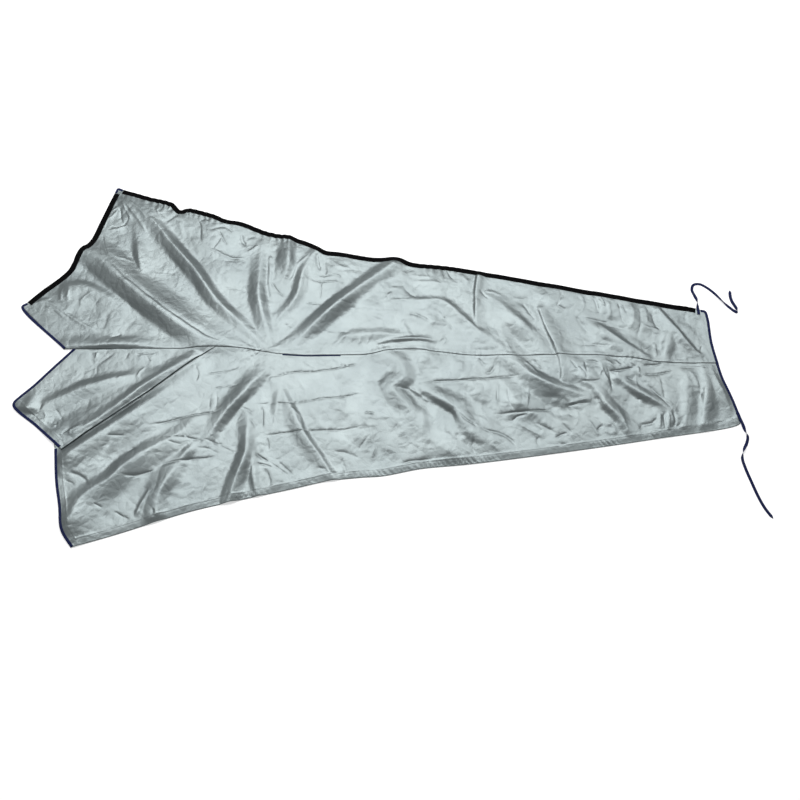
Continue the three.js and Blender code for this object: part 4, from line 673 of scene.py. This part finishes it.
seam_low, seam_high = seam_row(-LAP / 2), seam_row(LAP / 2)
UPPER_COLLAR = [TIP_START, TIP, tuple(seam_low[0])]
LOWER_COLLAR = [*FLAP_COLLAR, *FLAP_FRONT[1:]]
BOUND_LINES = [UPPER_COLLAR, PEAK, LOWER_COLLAR, LOWER_FRONT, [*AFT_LOWER, *AFT_UPPER, AFT_CORNER]]


def turned(p, degrees, stretch):
    """Coordinates turned about the origin, with what lies along the given direction drawn out."""
    c, w = math.cos(math.radians(degrees)), math.sin(math.radians(degrees))
    return np.stack([(c * p[:, 0] + w * p[:, 1]) / stretch, c * p[:, 1] - w * p[:, 0]], axis=1)


def fan_place(p, stretch):
    """Distance from the fan's middle and place around it, with what lies along a ray drawn out."""
    x, y = (p - FAN_MIDDLE).T
    return np.stack([np.hypot(x, y) / stretch, FAN_TURN * np.arctan2(y, -x)], axis=1)


def crumple(p, share):
    """Facets and small creases, drawn out along the fan's rays and aft of it, stronger in the crumpled
    places, with only a share of their height left where the cloth is drawn tight."""
    strength = np.full(len(p), SMOOTH)
    for x, y, reach, more in CRUMPLED:
        strength += more * (1 - ease(from_place(x, y, p) / reach))
    strength = np.minimum(strength, ROUGHEST)
    strength *= PATCHES["mean"] + PATCHES["amount"] * noise(p, PATCHES["size"], seed=21)
    total, rays = np.zeros(len(p)), np.zeros(len(p))
    for size, degrees, stretch, height, wander in FACETS:
        q = turned(warp(p, FACET_WANDER, wander, seed=3 + size), degrees, stretch)
        total += height * (CRUMPLE_MEAN + share * facets(q, size, seed=1))
    for size, stretch, height, wander in FAN_FACETS:
        q = fan_place(warp(p, FACET_WANDER, wander, seed=8 + size), stretch)
        rays += height * (CRUMPLE_MEAN + share * facets(q, size, seed=2))
    total = mix(rays, total, ease((p[:, 0] - FAN_END[0]) / (FAN_END[1] - FAN_END[0])))
    small = ridges(warp(p, **SMALL_WANDER), SMALL_CREASES["size"], seed=4)
    return strength * (total + SMALL_CREASES["height"] * (CRUMPLE_MEAN + share * small))


def hem_rise(line, p):
    """A stitched band: highest at its inner stitches, with a groove there and a step down to the cloth."""
    past = from_line(line, p) - HEM
    step = BAND["rise"] - BAND["step"] * ease(past / BAND["width"])
    band = np.where(past < 0, BAND["rise"] * (past + HEM) / HEM, step)
    groove = GROOVE["depth"] * np.maximum(0, 1 - np.abs(past + GROOVE["in"]) / GROOVE["half"])
    return (band - groove) * (1 - ease(past / BAND["fade"]))


def lower_height(p):
    """Height of the middle of the cloth, as both panels share it away from the lap and the pleat."""
    q = warp(p, **FOLD_WANDER)
    crossed = sum(fold_rise(fold, q) ** CROSSING for fold in FOLDS) ** (1 / CROSSING)
    swell = np.zeros(len(p))
    for x, y, reach, rise in SWELLS:
        swell += rise * (1 - np.minimum(from_place(x, y, p) / reach, 1) ** 2) ** 2
    bound = np.min([from_line(line, p) for line in BOUND_LINES], axis=0)
    at_binding = 1 - ease((bound - BOUND_BAND) / (BOUND_REACH - BOUND_BAND))
    q = warp(p, **CREASE_WANDER)
    fine = crumple(p, 1 - TIGHT["loss"] * ease(crossed / TIGHT["rise"]))
    fine += sum(crease_rise(crease, q) for crease in CREASES)
    fine *= mix(EDGE_SHARE, 1, ease(from_line(LOWER_EDGE, p) / EDGE_FADE))
    fine += sum(gather_rise(gather, p) for gather in GATHERS)
    band = np.max([hem_rise(line, p) for line in HEMMED], axis=0)
    bound_lift = BOUND_LIFT * at_binding
    total = crossed + swell + band + fine * (1 - BOUND_LOSS * at_binding) + FLOOR_GAP + bound_lift
    return CLOTH / 2 + HIGHEST * np.tanh(np.maximum(bound_lift, total) / HIGHEST)


def pleat_turn(share):
    return math.pi * (1 - PLEAT["open"] * ease((share - PLEAT["taper"]) / (1 - PLEAT["taper"])))


def pleat_depth(share):
    return np.maximum(PLEAT["least"], PLEAT["depth"] * (1 - share / PLEAT["taper"]))


def pleat_drop(share):
    turn = pleat_turn(share)
    return 2 * PLEAT["radius"] * (1 - np.cos(turn)) + pleat_depth(share) * np.sin(turn)


pleat_line = smooth_line(PLEAT_EDGE, EDGE_STEP)


def pleat_lift(p):
    distance, _, share = nearest(pleat_line, p)
    return pleat_drop(share) * (1 - ease((distance - pleat_depth(share) - PLEAT_MARGIN) / FLAP_REACH))


def flap_height(p):
    return lower_height(p) + pleat_lift(p)


def upper_height(p):
    from_seam = nearest(seam_line, p)[0]
    puff = LAP_PUFF * np.maximum(0, 1 - (from_seam / (LAP / 2)) ** 2)
    over = LAP_LIFT * (1 - ease((from_seam - LAP / 2) / LAP_REACH))
    return lower_height(p) + OVER_PLEAT * pleat_lift(p) + over + puff


def lift(points, height, over=0):
    return np.column_stack([points, height(points) + over])


def inside(polygon, p):
    odd = np.zeros(len(p), bool)
    for (ax, ay), (bx, by) in zip(polygon, np.roll(polygon, -1, axis=0)):
        if ay == by:
            continue
        crosses = (ay > p[:, 1]) != (by > p[:, 1])
        odd ^= crosses & (p[:, 0] < (bx - ax) * (p[:, 1] - ay) / (by - ay) + ax)
    return odd


def clear_of(others, gap, points):
    """The points that are further than the gap from all the others."""
    tree = kdtree.KDTree(len(others))
    for i, point in enumerate(others):
        tree.insert((*point, 0), i)
    tree.balance()
    return points[[tree.find((*q, 0))[2] > gap for q in points]]


def inward(line, closed=False):
    """Direction to the left of each point of a line, longer at corners, so that offsets keep their width."""
    steps = unit(np.diff(np.vstack([line, line[:1]]) if closed else line, axis=0))
    before = np.vstack([steps[-1:] if closed else steps[:1], steps])[: len(line)]
    after = np.vstack([steps, steps[-1:]])[: len(line)]
    middle = unit(before + after)
    turn = np.maximum(CORNER, np.sum(middle * after, axis=1))
    return left_of(middle) / turn[:, None]


def fold_rows(outline):
    """Mesh points along every fold and crease, closest together at its crest."""
    rows = []
    for crest, _, left, right, *_ in [*FOLDS, *CREASES]:
        line = smooth_line(crest, FOLD_ROWS["step"])
        sideways = inward(line)
        near_left, near_right = (min(reach / 2, FOLD_ROWS["across"]) for reach in (left, right))
        for off in (0, near_left, -near_right, 2 * near_left, -2 * near_right):
            rows.append(line + off * sideways)
    points = np.vstack(rows)
    points = points[np.unique(np.round(points / LEAST_GAP), axis=0, return_index=True)[1]]
    return clear_of(outline, EDGE_ROWS[-1] + FOLD_ROWS["margin"], points[inside(outline, points)])


def only_used(points, faces):
    used, faces = np.unique(faces, return_inverse=True)
    return points[used], faces.reshape(-1, 3)


def edge(name, points):
    return name, smooth_line(points, EDGE_STEP)


def chart(edges):
    """Flat mesh of one panel: rows along its outline and folds, an even fill, and triangles between."""
    outline, spans = [], {}
    for name, line in edges:
        start = sum(len(part) for part in outline)
        spans[name] = (start, start + len(line) - 1)
        outline.append(line[:-1])
    outline = np.vstack(outline)
    count = len(outline)
    sideways = inward(outline, closed=True)
    field = [outline]
    for depth in EDGE_ROWS:
        row = outline + sideways * depth
        field.append(clear_of(outline, EDGE_CLEAR * depth, row[inside(outline, row)]))
    rows = fold_rows(outline)
    low, high = outline.min(axis=0), outline.max(axis=0)
    along, across = np.arange(low[0], high[0], FILL_STEP), np.arange(low[1], high[1], FILL_STEP * ROW_HEIGHT)
    x, y = np.meshgrid(along, across)
    x[::2] += FILL_STEP / 2
    fill = np.stack([x.ravel(), y.ravel()], axis=1)
    fill = clear_of(outline, EDGE_ROWS[-1] + FILL_GAP["edge"] * FILL_STEP, fill[inside(outline, fill)])
    fill = clear_of(rows, FILL_GAP["fold"] * FILL_STEP, fill)
    points = np.vstack([*field, rows, fill])
    loop = [(i, (i + 1) % count) for i in range(count)]
    made = delaunay_2d_cdt([Vector(q) for q in points], loop, [list(range(count))], 1, ONE_PLACE)
    points, faces = only_used(np.array([tuple(v) for v in made[0]]), [f for f in made[2] if len(f) == 3])
    return {"points": points, "faces": faces, "spans": spans}


def sheet_normals(points, faces):
    a, b, c = (points[faces[:, k]] for k in range(3))
    face_normals = np.cross(b - a, c - a)
    normals = np.zeros_like(points)
    for k in range(3):
        np.add.at(normals, faces[:, k], face_normals)
    return unit(normals)


def make_object(name, corners, faces, look):
    material, slot = look
    mesh = bpy.data.meshes.new(name)
    mesh.from_pydata((np.asarray(corners) * MM).tolist(), [], [list(map(int, f)) for f in faces])
    mesh.polygons.foreach_set("use_smooth", [True] * len(mesh.polygons))
    mesh.materials.append(material)
    mesh.update()
    piece = bpy.data.objects.new(name, mesh)
    bpy.context.scene.collection.objects.link(piece)
    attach(piece, "root")
    return piece


def make_shell(name, points, faces, low, high, look):
    """The solid between two offsets from a sheet."""
    normals = sheet_normals(points, faces)
    corners = np.vstack([points + normals * low, points + normals * high])
    top = len(points)
    sides = {}
    for a, b, c in faces:
        for pair in ((a, b), (b, c), (c, a)):
            if sides.pop((pair[1], pair[0]), None) is None:
                sides[pair] = True
    walls = [(p, q, q + top, p + top) for p, q in sides]
    return make_object(name, corners, [*(faces + top).tolist(), *faces[:, ::-1].tolist(), *walls], look)


def grid_faces(rows, columns):
    """Triangles of a sheet of points in rows and columns."""
    faces = []
    for i in range(rows - 1):
        for j in range(columns - 1):
            a, d = i * columns + j, (i + 1) * columns + j
            faces += [(a, a + 1, d + 1), (a, d + 1, d)]
    return np.array(faces)


# Materials, with their sizes in metres
def set_inputs(tree, node, inputs):
    """Each input of a node set to a value or joined to another node's output."""
    for name, value in inputs.items():
        if isinstance(value, bpy.types.NodeSocket):
            tree.links.new(value, node.inputs[name])
        else:
            node.inputs[name].default_value = value


def add_node(tree, kind, inputs, **settings):
    node = tree.nodes.new("ShaderNode" + kind)
    for name, value in settings.items():
        setattr(node, name, value)
    set_inputs(tree, node, inputs)
    return node


def material(name, color, roughness):
    made = bpy.data.materials.new(name)
    made.use_nodes = True
    tree = made.node_tree
    shader = tree.nodes["Principled BSDF"]
    set_inputs(tree, shader, {"Base Color": (*color, 1), "Roughness": roughness})
    return made, tree, shader


def object_place(tree):
    return add_node(tree, "TexCoord", {}).outputs["Object"]


def noise_node(tree, scale, detail, output="Fac"):
    inputs = {"Scale": scale, "Detail": detail, "Vector": object_place(tree)}
    return add_node(tree, "TexNoise", inputs).outputs[output]


def range_node(tree, value, low, high, to_low, to_high):
    inputs = {"Value": value, "From Min": low, "From Max": high, "To Min": to_low, "To Max": to_high}
    return add_node(tree, "MapRange", inputs).outputs["Result"]


def bump_node(tree, height, distance, strength, normal=None):
    inputs = {"Height": height, "Distance": distance, "Strength": strength}
    if normal:
        inputs["Normal"] = normal
    return add_node(tree, "Bump", inputs).outputs["Normal"]


def color_mix(tree, share, first, second):
    inputs = {"Factor": share, "A": (*first, 1), "B": (*second, 1)}
    return add_node(tree, "Mix", inputs, data_type="RGBA").outputs["Result"]


def warped_place(tree, scale, amount):
    """Object coordinates pushed about by noise, so that a regular pattern on them turns uneven."""
    wander = noise_node(tree, scale, detail=2, output="Color")
    inputs = {0: wander, 1: (amount, amount, 0), 2: object_place(tree)}
    return add_node(tree, "VectorMath", inputs, operation="MULTIPLY_ADD").outputs["Vector"]


def crushed(tree, scale, wander, amount):
    """Height of small flat facets that meet in sharp lines."""
    inputs = {"Scale": scale, "Vector": warped_place(tree, wander, amount)}
    return add_node(tree, "TexVoronoi", inputs, feature="DISTANCE_TO_EDGE").outputs["Distance"]


def silver_cloth():
    made, tree, shader = material("silver_cloth", SILVER_COLORS[0], roughness=0.3)
    patches, wear = noise_node(tree, scale=3.2, detail=5), noise_node(tree, scale=9, detail=3)
    tone = range_node(tree, patches, *TONE_SPAN, 0, 1)
    normal = None
    for scale, wander, amount, depth, strength in CRUSHED:
        normal = bump_node(tree, crushed(tree, scale, wander, amount), depth, strength, normal)
    soft, weave = noise_node(tree, scale=55, detail=4), noise_node(tree, scale=900, detail=2)
    normal = bump_node(tree, soft, distance=0.0009, strength=0.75, normal=normal)
    set_inputs(tree, shader, {
        "Base Color": color_mix(tree, tone, *SILVER_COLORS),
        "Metallic": SILVER_METAL,
        "Roughness": range_node(tree, wear, *WEAR_SPAN, *SILVER_ROUGH),
        "Normal": bump_node(tree, weave, distance=0.0002, strength=0.5, normal=normal),
    })
    return made


def black_tape():
    made, tree, shader = material("black_tape", (0.002, 0.002, 0.002), roughness=1.0)
    loops = noise_node(tree, scale=620, detail=3)
    set_inputs(tree, shader, {
        "Base Color": color_mix(tree, loops, *BLACK_COLORS),
        "Specular IOR Level": 0.12,
        "Normal": bump_node(tree, loops, distance=0.0008, strength=0.9),
    })
    return made


def navy_webbing(name):
    made, tree, shader = material(name, (0.006, 0.012, 0.07), roughness=0.75)
    inputs = {"Scale": 260, "Distortion": 1.5, "Vector": object_place(tree)}
    ribs = add_node(tree, "TexWave", inputs).outputs["Fac"]
    set_inputs(tree, shader, {
        "Base Color": color_mix(tree, ribs, *NAVY_COLORS),
        "Specular IOR Level": 0.25,
        "Normal": bump_node(tree, ribs, distance=0.0004, strength=0.7),
    })
    return made


def thread(name, color):
    made, tree, shader = material(name, color, roughness=0.6)
    twist = bump_node(tree, noise_node(tree, scale=1500, detail=1), distance=0.0002, strength=0.6)
    set_inputs(tree, shader, {"Sheen Weight": 0.1, "Normal": twist})
    return made


# Looks: a material and a slot's name
SILVER = (silver_cloth(), "silver_cloth")
BLACK = (black_tape(), "black_tape")
NAVY = (navy_webbing("navy_binding"), "navy_binding")
RIBBON = (navy_webbing("navy_ribbon"), "navy_ribbon")


# Ties, as x, y, height and turn about their own line in degrees
def at(height, x, y):
    return float(height(np.array([[x, y]], float))[0])


def over_cloth(x, y):
    return at(upper_height, x, y) + CLOTH / 2 + CLEAR + TIE["thick"] / 2


def over_binding(x, y):
    over = 2 * CLEAR + BINDING["thick"] + TIE["more"]
    return at(lower_height, x, y) + CLOTH / 2 + over + TIE["thick"] / 2


FLAT, ON_EDGE = TIE["thick"] / 2 + OVER_FLOOR, TIE["width"] / 2 + OVER_FLOOR
UPPER_TIE = [
    (1717, 212, over_cloth(1717, 212), 0), (1717, 232, over_cloth(1717, 232), 0),
    (1717, 252, over_cloth(1717, 240), 0), (1720, 288, ON_EDGE, 80), (1712, 330, FLAT + 2, 175),
    (1704, 365, FLAT, 180), (1716, 396, FLAT, 180), (1748, 402, FLAT, 180), (1785, 380, FLAT, 180),
    (1825, 338, FLAT, 180), (1856, 292, FLAT + 4, 140), (1882, 262, FLAT, 180), (1903, 239, FLAT, 185),
    (1918, 224, ON_EDGE, 270), (1922, 232, ON_EDGE, 270), (1917, 258, FLAT + 3, 355), (1904, 292, FLAT, 360),
    (1900, 325, FLAT, 360), (1904, 362, FLAT, 360),
]
LOWER_TIE = [
    (1824, -350, over_binding(1824, -350), 0), (1832, -385, over_binding(1832, -385), 0),
    (1840, -412, over_binding(1838, -396), 0), (1846, -450, ON_EDGE, 75), (1856, -478, FLAT, 170),
    (1846, -512, FLAT, 180), (1826, -545, ON_EDGE - 2, 230), (1811, -590, FLAT, 350),
    (1818, -645, FLAT, 360), (1835, -715, FLAT, 360), (1855, -790, FLAT, 360), (1876, -845, FLAT, 360),
    (1905, -895, FLAT, 360),
]


def ribbon(name, route, node):
    """A flat ribbon along a route, cut to a point at its free end."""
    rows = np.array(route, float)
    line = smooth_line(rows[:, :3], TIE["width"] / TIE["rows"])
    walked = arc(line)
    key = [int(np.argmin(np.linalg.norm(line - row[:3], axis=1))) for row in rows]
    turn = np.interp(np.arange(len(line)), key, rows[:, 3])
    tangent = unit(np.gradient(line, axis=0))
    side = np.cross((0, 0, 1), tangent[0])
    points = []
    for i, (centre, t, roll) in enumerate(zip(line, tangent, np.radians(turn))):
        side = side - t * (side @ t)
        side /= np.linalg.norm(side)
        across = side * math.cos(roll) + np.cross(t, side) * math.sin(roll)
        face = np.cross(t, across)
        half = TIE["width"] / 2 * min(1, TIE["tip"] + (walked[-1] - walked[i]) / TIE["point"])
        under = abs(across[2]) * half + abs(face[2]) * TIE["thick"] / 2
        line[i] = centre + (0, 0, max(0, under + TIE["air"] - centre[2]))
        points += [line[i] + across * half * s for s in ACROSS_TIE]
    half = TIE["thick"] / 2
    faces = grid_faces(len(line), len(ACROSS_TIE))
    piece = make_shell(name, np.array(points), faces, -half, half, RIBBON)
    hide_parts(node)


ribbon("upper_ribbon", UPPER_TIE, "upper_tie")
ribbon("lower_ribbon", LOWER_TIE, "lower_tie")

# Upper panel
upper = chart([
    ("seam", seam_low),
    edge("aft", AFT_UPPER),
    edge("aft_top", [AFT_UPPER[-1], AFT_CORNER, LONG_EDGE[0]]),
    edge("long_tape", LONG_EDGE),
    edge("peak_top", [LONG_EDGE[-1], *PEAK[:2]]),
    edge("peak_front", [*PEAK[1:], FRONT_EDGE[0]]),
    edge("front_tape", FRONT_EDGE),
    edge("tip", [FRONT_EDGE[-1], TIP_START, TIP]),
    edge("collar", UPPER_COLLAR[1:]),
])
upper_points = lift(upper["points"], upper_height)
upper_panel = make_shell("upper_cloth", upper_points, upper["faces"], -CLOTH / 2, CLOTH / 2, SILVER)
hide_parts("upper_panel")


# Lower panel in two charts, its collar flap and its body, joined by the turns of the pleat
def seam_index(x):
    """The first point of the seam that lies at x, but for its margin, or aft of it."""
    return int(np.argmax(seam_line[:, 0] > x - SEAM_MARGIN))


pleat_end, flap_start = seam_index(PLEAT_EDGE[-1][0]), seam_index(FLAP_COLLAR[0][0])
pleat_line[-1] = seam_high[pleat_end]
shares = np.linspace(0, 1, len(pleat_line))
reach = 2 * PLEAT["radius"] * np.sin(pleat_turn(shares)) + pleat_depth(shares) * np.cos(pleat_turn(shares))
hidden_line = pleat_line + reach[:, None] * PLEAT_DIRECTION
hidden_line[-1] = seam_high[pleat_end]
flap = chart([
    ("pleat", pleat_line),
    ("seam", seam_high[flap_start : pleat_end + 1][::-1]),
    edge("collar", [tuple(seam_high[flap_start]), *FLAP_COLLAR[1:]]),
    edge("front", FLAP_FRONT),
    edge("end", [FLAP_FRONT[-1], tuple(pleat_line[0])]),
])
body = chart([
    edge("lower", LOWER_EDGE),
    edge("aft", [*AFT_LOWER[:-1], tuple(seam_high[-1])]),
    ("seam", seam_high[pleat_end:][::-1]),
    ("pleat", hidden_line[::-1]),
    edge("top", [tuple(hidden_line[0]), LOWER_FRONT[0]]),
    edge("front", LOWER_FRONT),
])


def pleat_sections():
    """Points of each station through the two turns of the pleat."""
    radius, steps = PLEAT["radius"], PLEAT["steps"]
    low_at, low_hidden = lower_height(pleat_line), lower_height(hidden_line)
    sections = []
    for i, share in enumerate(shares[:-1]):
        turn, depth, drop = (float(f(share)) for f in (pleat_turn, pleat_depth, pleat_drop))
        first_turn = turn * np.arange(1, steps + 1) / steps
        run = [(radius * math.sin(a), radius * (1 - math.cos(a))) for a in first_turn]
        out, down = run[-1]
        for part in np.linspace(0, depth, PLEAT["rows"] + 1)[1:]:
            run.append((out + part * math.cos(turn), down + part * math.sin(turn)))
        out, down = run.pop()
        for a in turn * (1 - np.arange(steps) / steps):
            back, drop_back = math.sin(turn) - math.sin(a), math.cos(a) - math.cos(turn)
            run.append((out + radius * back, down + radius * drop_back))
        across, fall = np.array(run).T
        place = pleat_line[i] + across[:, None] * PLEAT_DIRECTION
        base = mix(low_at[i], low_hidden[i], fall / drop)
        sections.append(np.column_stack([place, base + drop - fall]))
    return sections


def join_lower_panel():
    points = [lift(flap["points"], flap_height), lift(body["points"], lower_height)]
    body_start = len(points[0])
    total = body_start + len(points[1])
    last = len(pleat_line) - 1
    flap_first = flap["spans"]["pleat"][0]
    body_last = body_start + body["spans"]["pleat"][1]
    flap_faces = np.where(flap["faces"] == flap_first + last, body_last - last, flap["faces"])
    rows = []
    for i, section in enumerate(pleat_sections()):
        rows.append([flap_first + i, *range(total, total + len(section)), body_last - i])
        points.append(section)
        total += len(section)
    joined = []
    for row, after in zip(rows, rows[1:]):
        for k in range(len(row) - 1):
            joined += [(row[k], row[k + 1], after[k + 1]), (row[k], after[k + 1], after[k])]
    joined += [(a, b, body_last - last) for a, b in zip(rows[-1], rows[-1][1:])]
    return only_used(np.vstack(points), np.vstack([flap_faces, body["faces"] + body_start, np.array(joined)]))


lower_panel = make_shell("lower_cloth", *join_lower_panel(), -CLOTH / 2, CLOTH / 2, SILVER)
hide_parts("lower_panel")


# Tapes and bindings
def tape(name, line, width, node):
    line = smooth_line(line, EDGE_STEP)
    offsets = [0, *[row for row in EDGE_ROWS if row < width - TAPE["margin"]], width]
    sideways = inward(line)
    points = lift(np.vstack([line + sideways * off for off in offsets]), upper_height)
    low = CLOTH / 2 + CLEAR
    piece = make_shell(name, points, grid_faces(len(offsets), len(line)), low, low + TAPE["thick"], BLACK)
    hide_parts(node)
    return line, sideways, width


def binding(name, line, node, top, bottom=None):
    """A folded strip round an edge: its under leg, its turn and its upper leg."""
    line = smooth_line(line, EDGE_STEP)
    sideways = inward(line)
    half = BINDING["thick"] / 2
    rows = []
    for off, face in BINDING_SECTION:
        height = (bottom or top) if face < 0 else top
        z = height(line + sideways * max(off, 0)) + (CLOTH / 2 + CLEAR + half) * face
        rows.append(np.column_stack([line + sideways * off, np.maximum(z, half + OVER_FLOOR)]))
    piece = make_shell(name, np.vstack(rows), grid_faces(len(rows), len(line)), -half, half, NAVY)
    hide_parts(node)
    return line, sideways, top


def aft_height(start, stretch):
    """Height that passes from the lower panel's to the upper one's along a stretch of the aft edge."""
    return lambda p: mix(lower_height(p), upper_height(p), ease((p[:, 1] - start) / stretch))


tapes = [
    tape("long_tape_cloth", LONG_EDGE, TAPE["long"], "long_tape"),
    tape("front_tape_cloth", FRONT_EDGE, TAPE["front"], "front_tape"),
]
aft_line = [*AFT_LOWER[:-1], AFT_MIDDLE, *AFT_UPPER[1:], AFT_CORNER]
bindings = [
    binding("peak_edge", PEAK, "peak_binding", upper_height),
    binding("upper_collar_edge", UPPER_COLLAR, "upper_collar_binding", upper_height),
    binding("lower_collar_edge", LOWER_COLLAR, "lower_collar_binding", flap_height),
    binding("lower_front_edge", LOWER_FRONT, "lower_front_binding", lower_height),
    binding(
        "aft_edge", aft_line, "aft_binding", aft_height(start=-98, stretch=22),
        aft_height(start=-56, stretch=25),
    ),
]

# Binding that shows under the lap
shown = (seam_line[:, 0] > UNDER_LAP["stretch"][0]) & (seam_line[:, 0] < UNDER_LAP["stretch"][1])
peek = [lift(seam_row(-LAP / 2 - off)[shown], lower_height) for off in UNDER_LAP["rows"]]
peek_faces = grid_faces(len(peek), int(shown.sum()))
peek_low, peek_high = CLOTH / 2 + UNDER_LAP["low"], CLOTH / 2 + UNDER_LAP["high"]
make_shell("lap_edge", np.vstack(peek), peek_faces, peek_low, peek_high, NAVY)


# Stitches
def stitches(name, rows, look):
    """Raised stitches along rows of points that already lie on the cloth."""
    corners, faces = [], []
    for row in rows:
        walked = arc(row)
        places = np.arange(STITCH["pitch"], walked[-1] - STITCH["pitch"] / 2, STITCH["pitch"])
        middle, ahead = (
            np.stack([np.interp(places + on, walked, row[:, k]) for k in range(3)], axis=1) for on in (0, 1)
        )
        ahead = unit(ahead - middle)
        across = np.cross((0, 0, 1), ahead)
        up = np.cross(ahead, across)
        for m, t, s, u in zip(middle, ahead, across, up):
            first = len(corners)
            end = t * STITCH["length"] / 2
            ring = [m + (s * a + u * b) * STITCH["width"] for a, b in STITCH_SECTION]
            corners += [m - end, *ring, m + end]
            for k in range(len(ring)):
                a, b = first + 1 + k, first + 1 + (k + 1) % len(ring)
                faces += [(first, b, a), (first + len(ring) + 1, a, b)]
    make_object(name, corners, faces, look)


on_cloth = CLOTH / 2 + STITCH["over_cloth"]
on_tape, on_binding = (CLOTH / 2 + CLEAR + piece["thick"] + STITCH["over"] for piece in (TAPE, BINDING))
in_groove = HEM - GROOVE["in"]
along_lap = slice(FREE["front"], -FREE["aft"])
below_lap = slice(pleat_end + FREE["pleat"], -FREE["aft"])
cloth_rows = [
    lift(seam_row(-LAP / 2 + SEAM_STITCHES["low"])[along_lap], upper_height, on_cloth),
    lift(seam_row(LAP / 2 - SEAM_STITCHES["high"])[along_lap], upper_height, on_cloth),
    lift(seam_row(-LAP / 2 - SEAM_STITCHES["below"])[below_lap], lower_height, on_cloth),
]
for hem, off, height in (
    (LOWER_EDGE, in_groove, lower_height),
    (LOWER_EDGE, EDGE_STITCHES, lower_height),
    (LOWER_FRONT, in_groove, lower_height),
    (FLAP_FRONT, in_groove, flap_height),
):
    hem_line = smooth_line(hem, EDGE_STEP)
    cloth_rows.append(lift(hem_line + inward(hem_line) * off, height, on_cloth))
tape_rows = [
    lift(line + sideways * off, upper_height, on_tape)
    for line, sideways, width in tapes for off in (TAPE["margin"], width - TAPE["margin"])
]
binding_rows = [
    lift(line + sideways * (BINDING["leg"] - BINDING["margin"]), height, on_binding)
    for line, sideways, height in bindings
]
stitches("cloth_stitches", cloth_rows, (thread("grey_thread", (0.3, 0.33, 0.34)), "silver_cloth"))
stitches("tape_stitches", tape_rows, (thread("black_thread", (0.02, 0.02, 0.022)), "black_tape"))
stitches("binding_stitches", binding_rows, (thread("navy_thread", (0.03, 0.045, 0.16)), "navy_binding"))

# Floor, light and background
floor_mesh = bpy.data.meshes.new("floor")
floor_corners = [(x * FLOOR["half"], y * FLOOR["half"], 0) for x, y in ((-1, -1), (1, -1), (1, 1), (-1, 1))]
floor_mesh.from_pydata(floor_corners, [], [(0, 1, 2, 3)])
floor = bpy.data.objects.new("floor", floor_mesh)
bpy.context.scene.collection.objects.link(floor)
floor_material, floor_tree, floor_shader = material("floor", [FLOOR["grey"]] * 3, FLOOR["rough"])
set_inputs(floor_tree, floor_shader, {"Emission Color": (1, 1, 1, 1), "Emission Strength": FLOOR["glow"]})
floor_mesh.materials.append(floor_material)

for name, place, aim, size, power in LIGHTS:
    lamp_data = bpy.data.lights.new(name, "AREA")
    lamp_data.shape = "RECTANGLE"
    lamp_data.size, lamp_data.size_y = size
    lamp_data.energy = power
    lamp = bpy.data.objects.new(name, lamp_data)
    bpy.context.scene.collection.objects.link(lamp)
    lamp.location = place
    lamp.rotation_euler = (Vector(aim) - Vector(place)).to_track_quat("-Z", "Y").to_euler()

world = bpy.data.worlds.new("world")
bpy.context.scene.world = world
world.use_nodes = True
background = world.node_tree.nodes["Background"]
set_inputs(world.node_tree, background, {"Color": (1, 1, 1, 1), "Strength": WORLD})
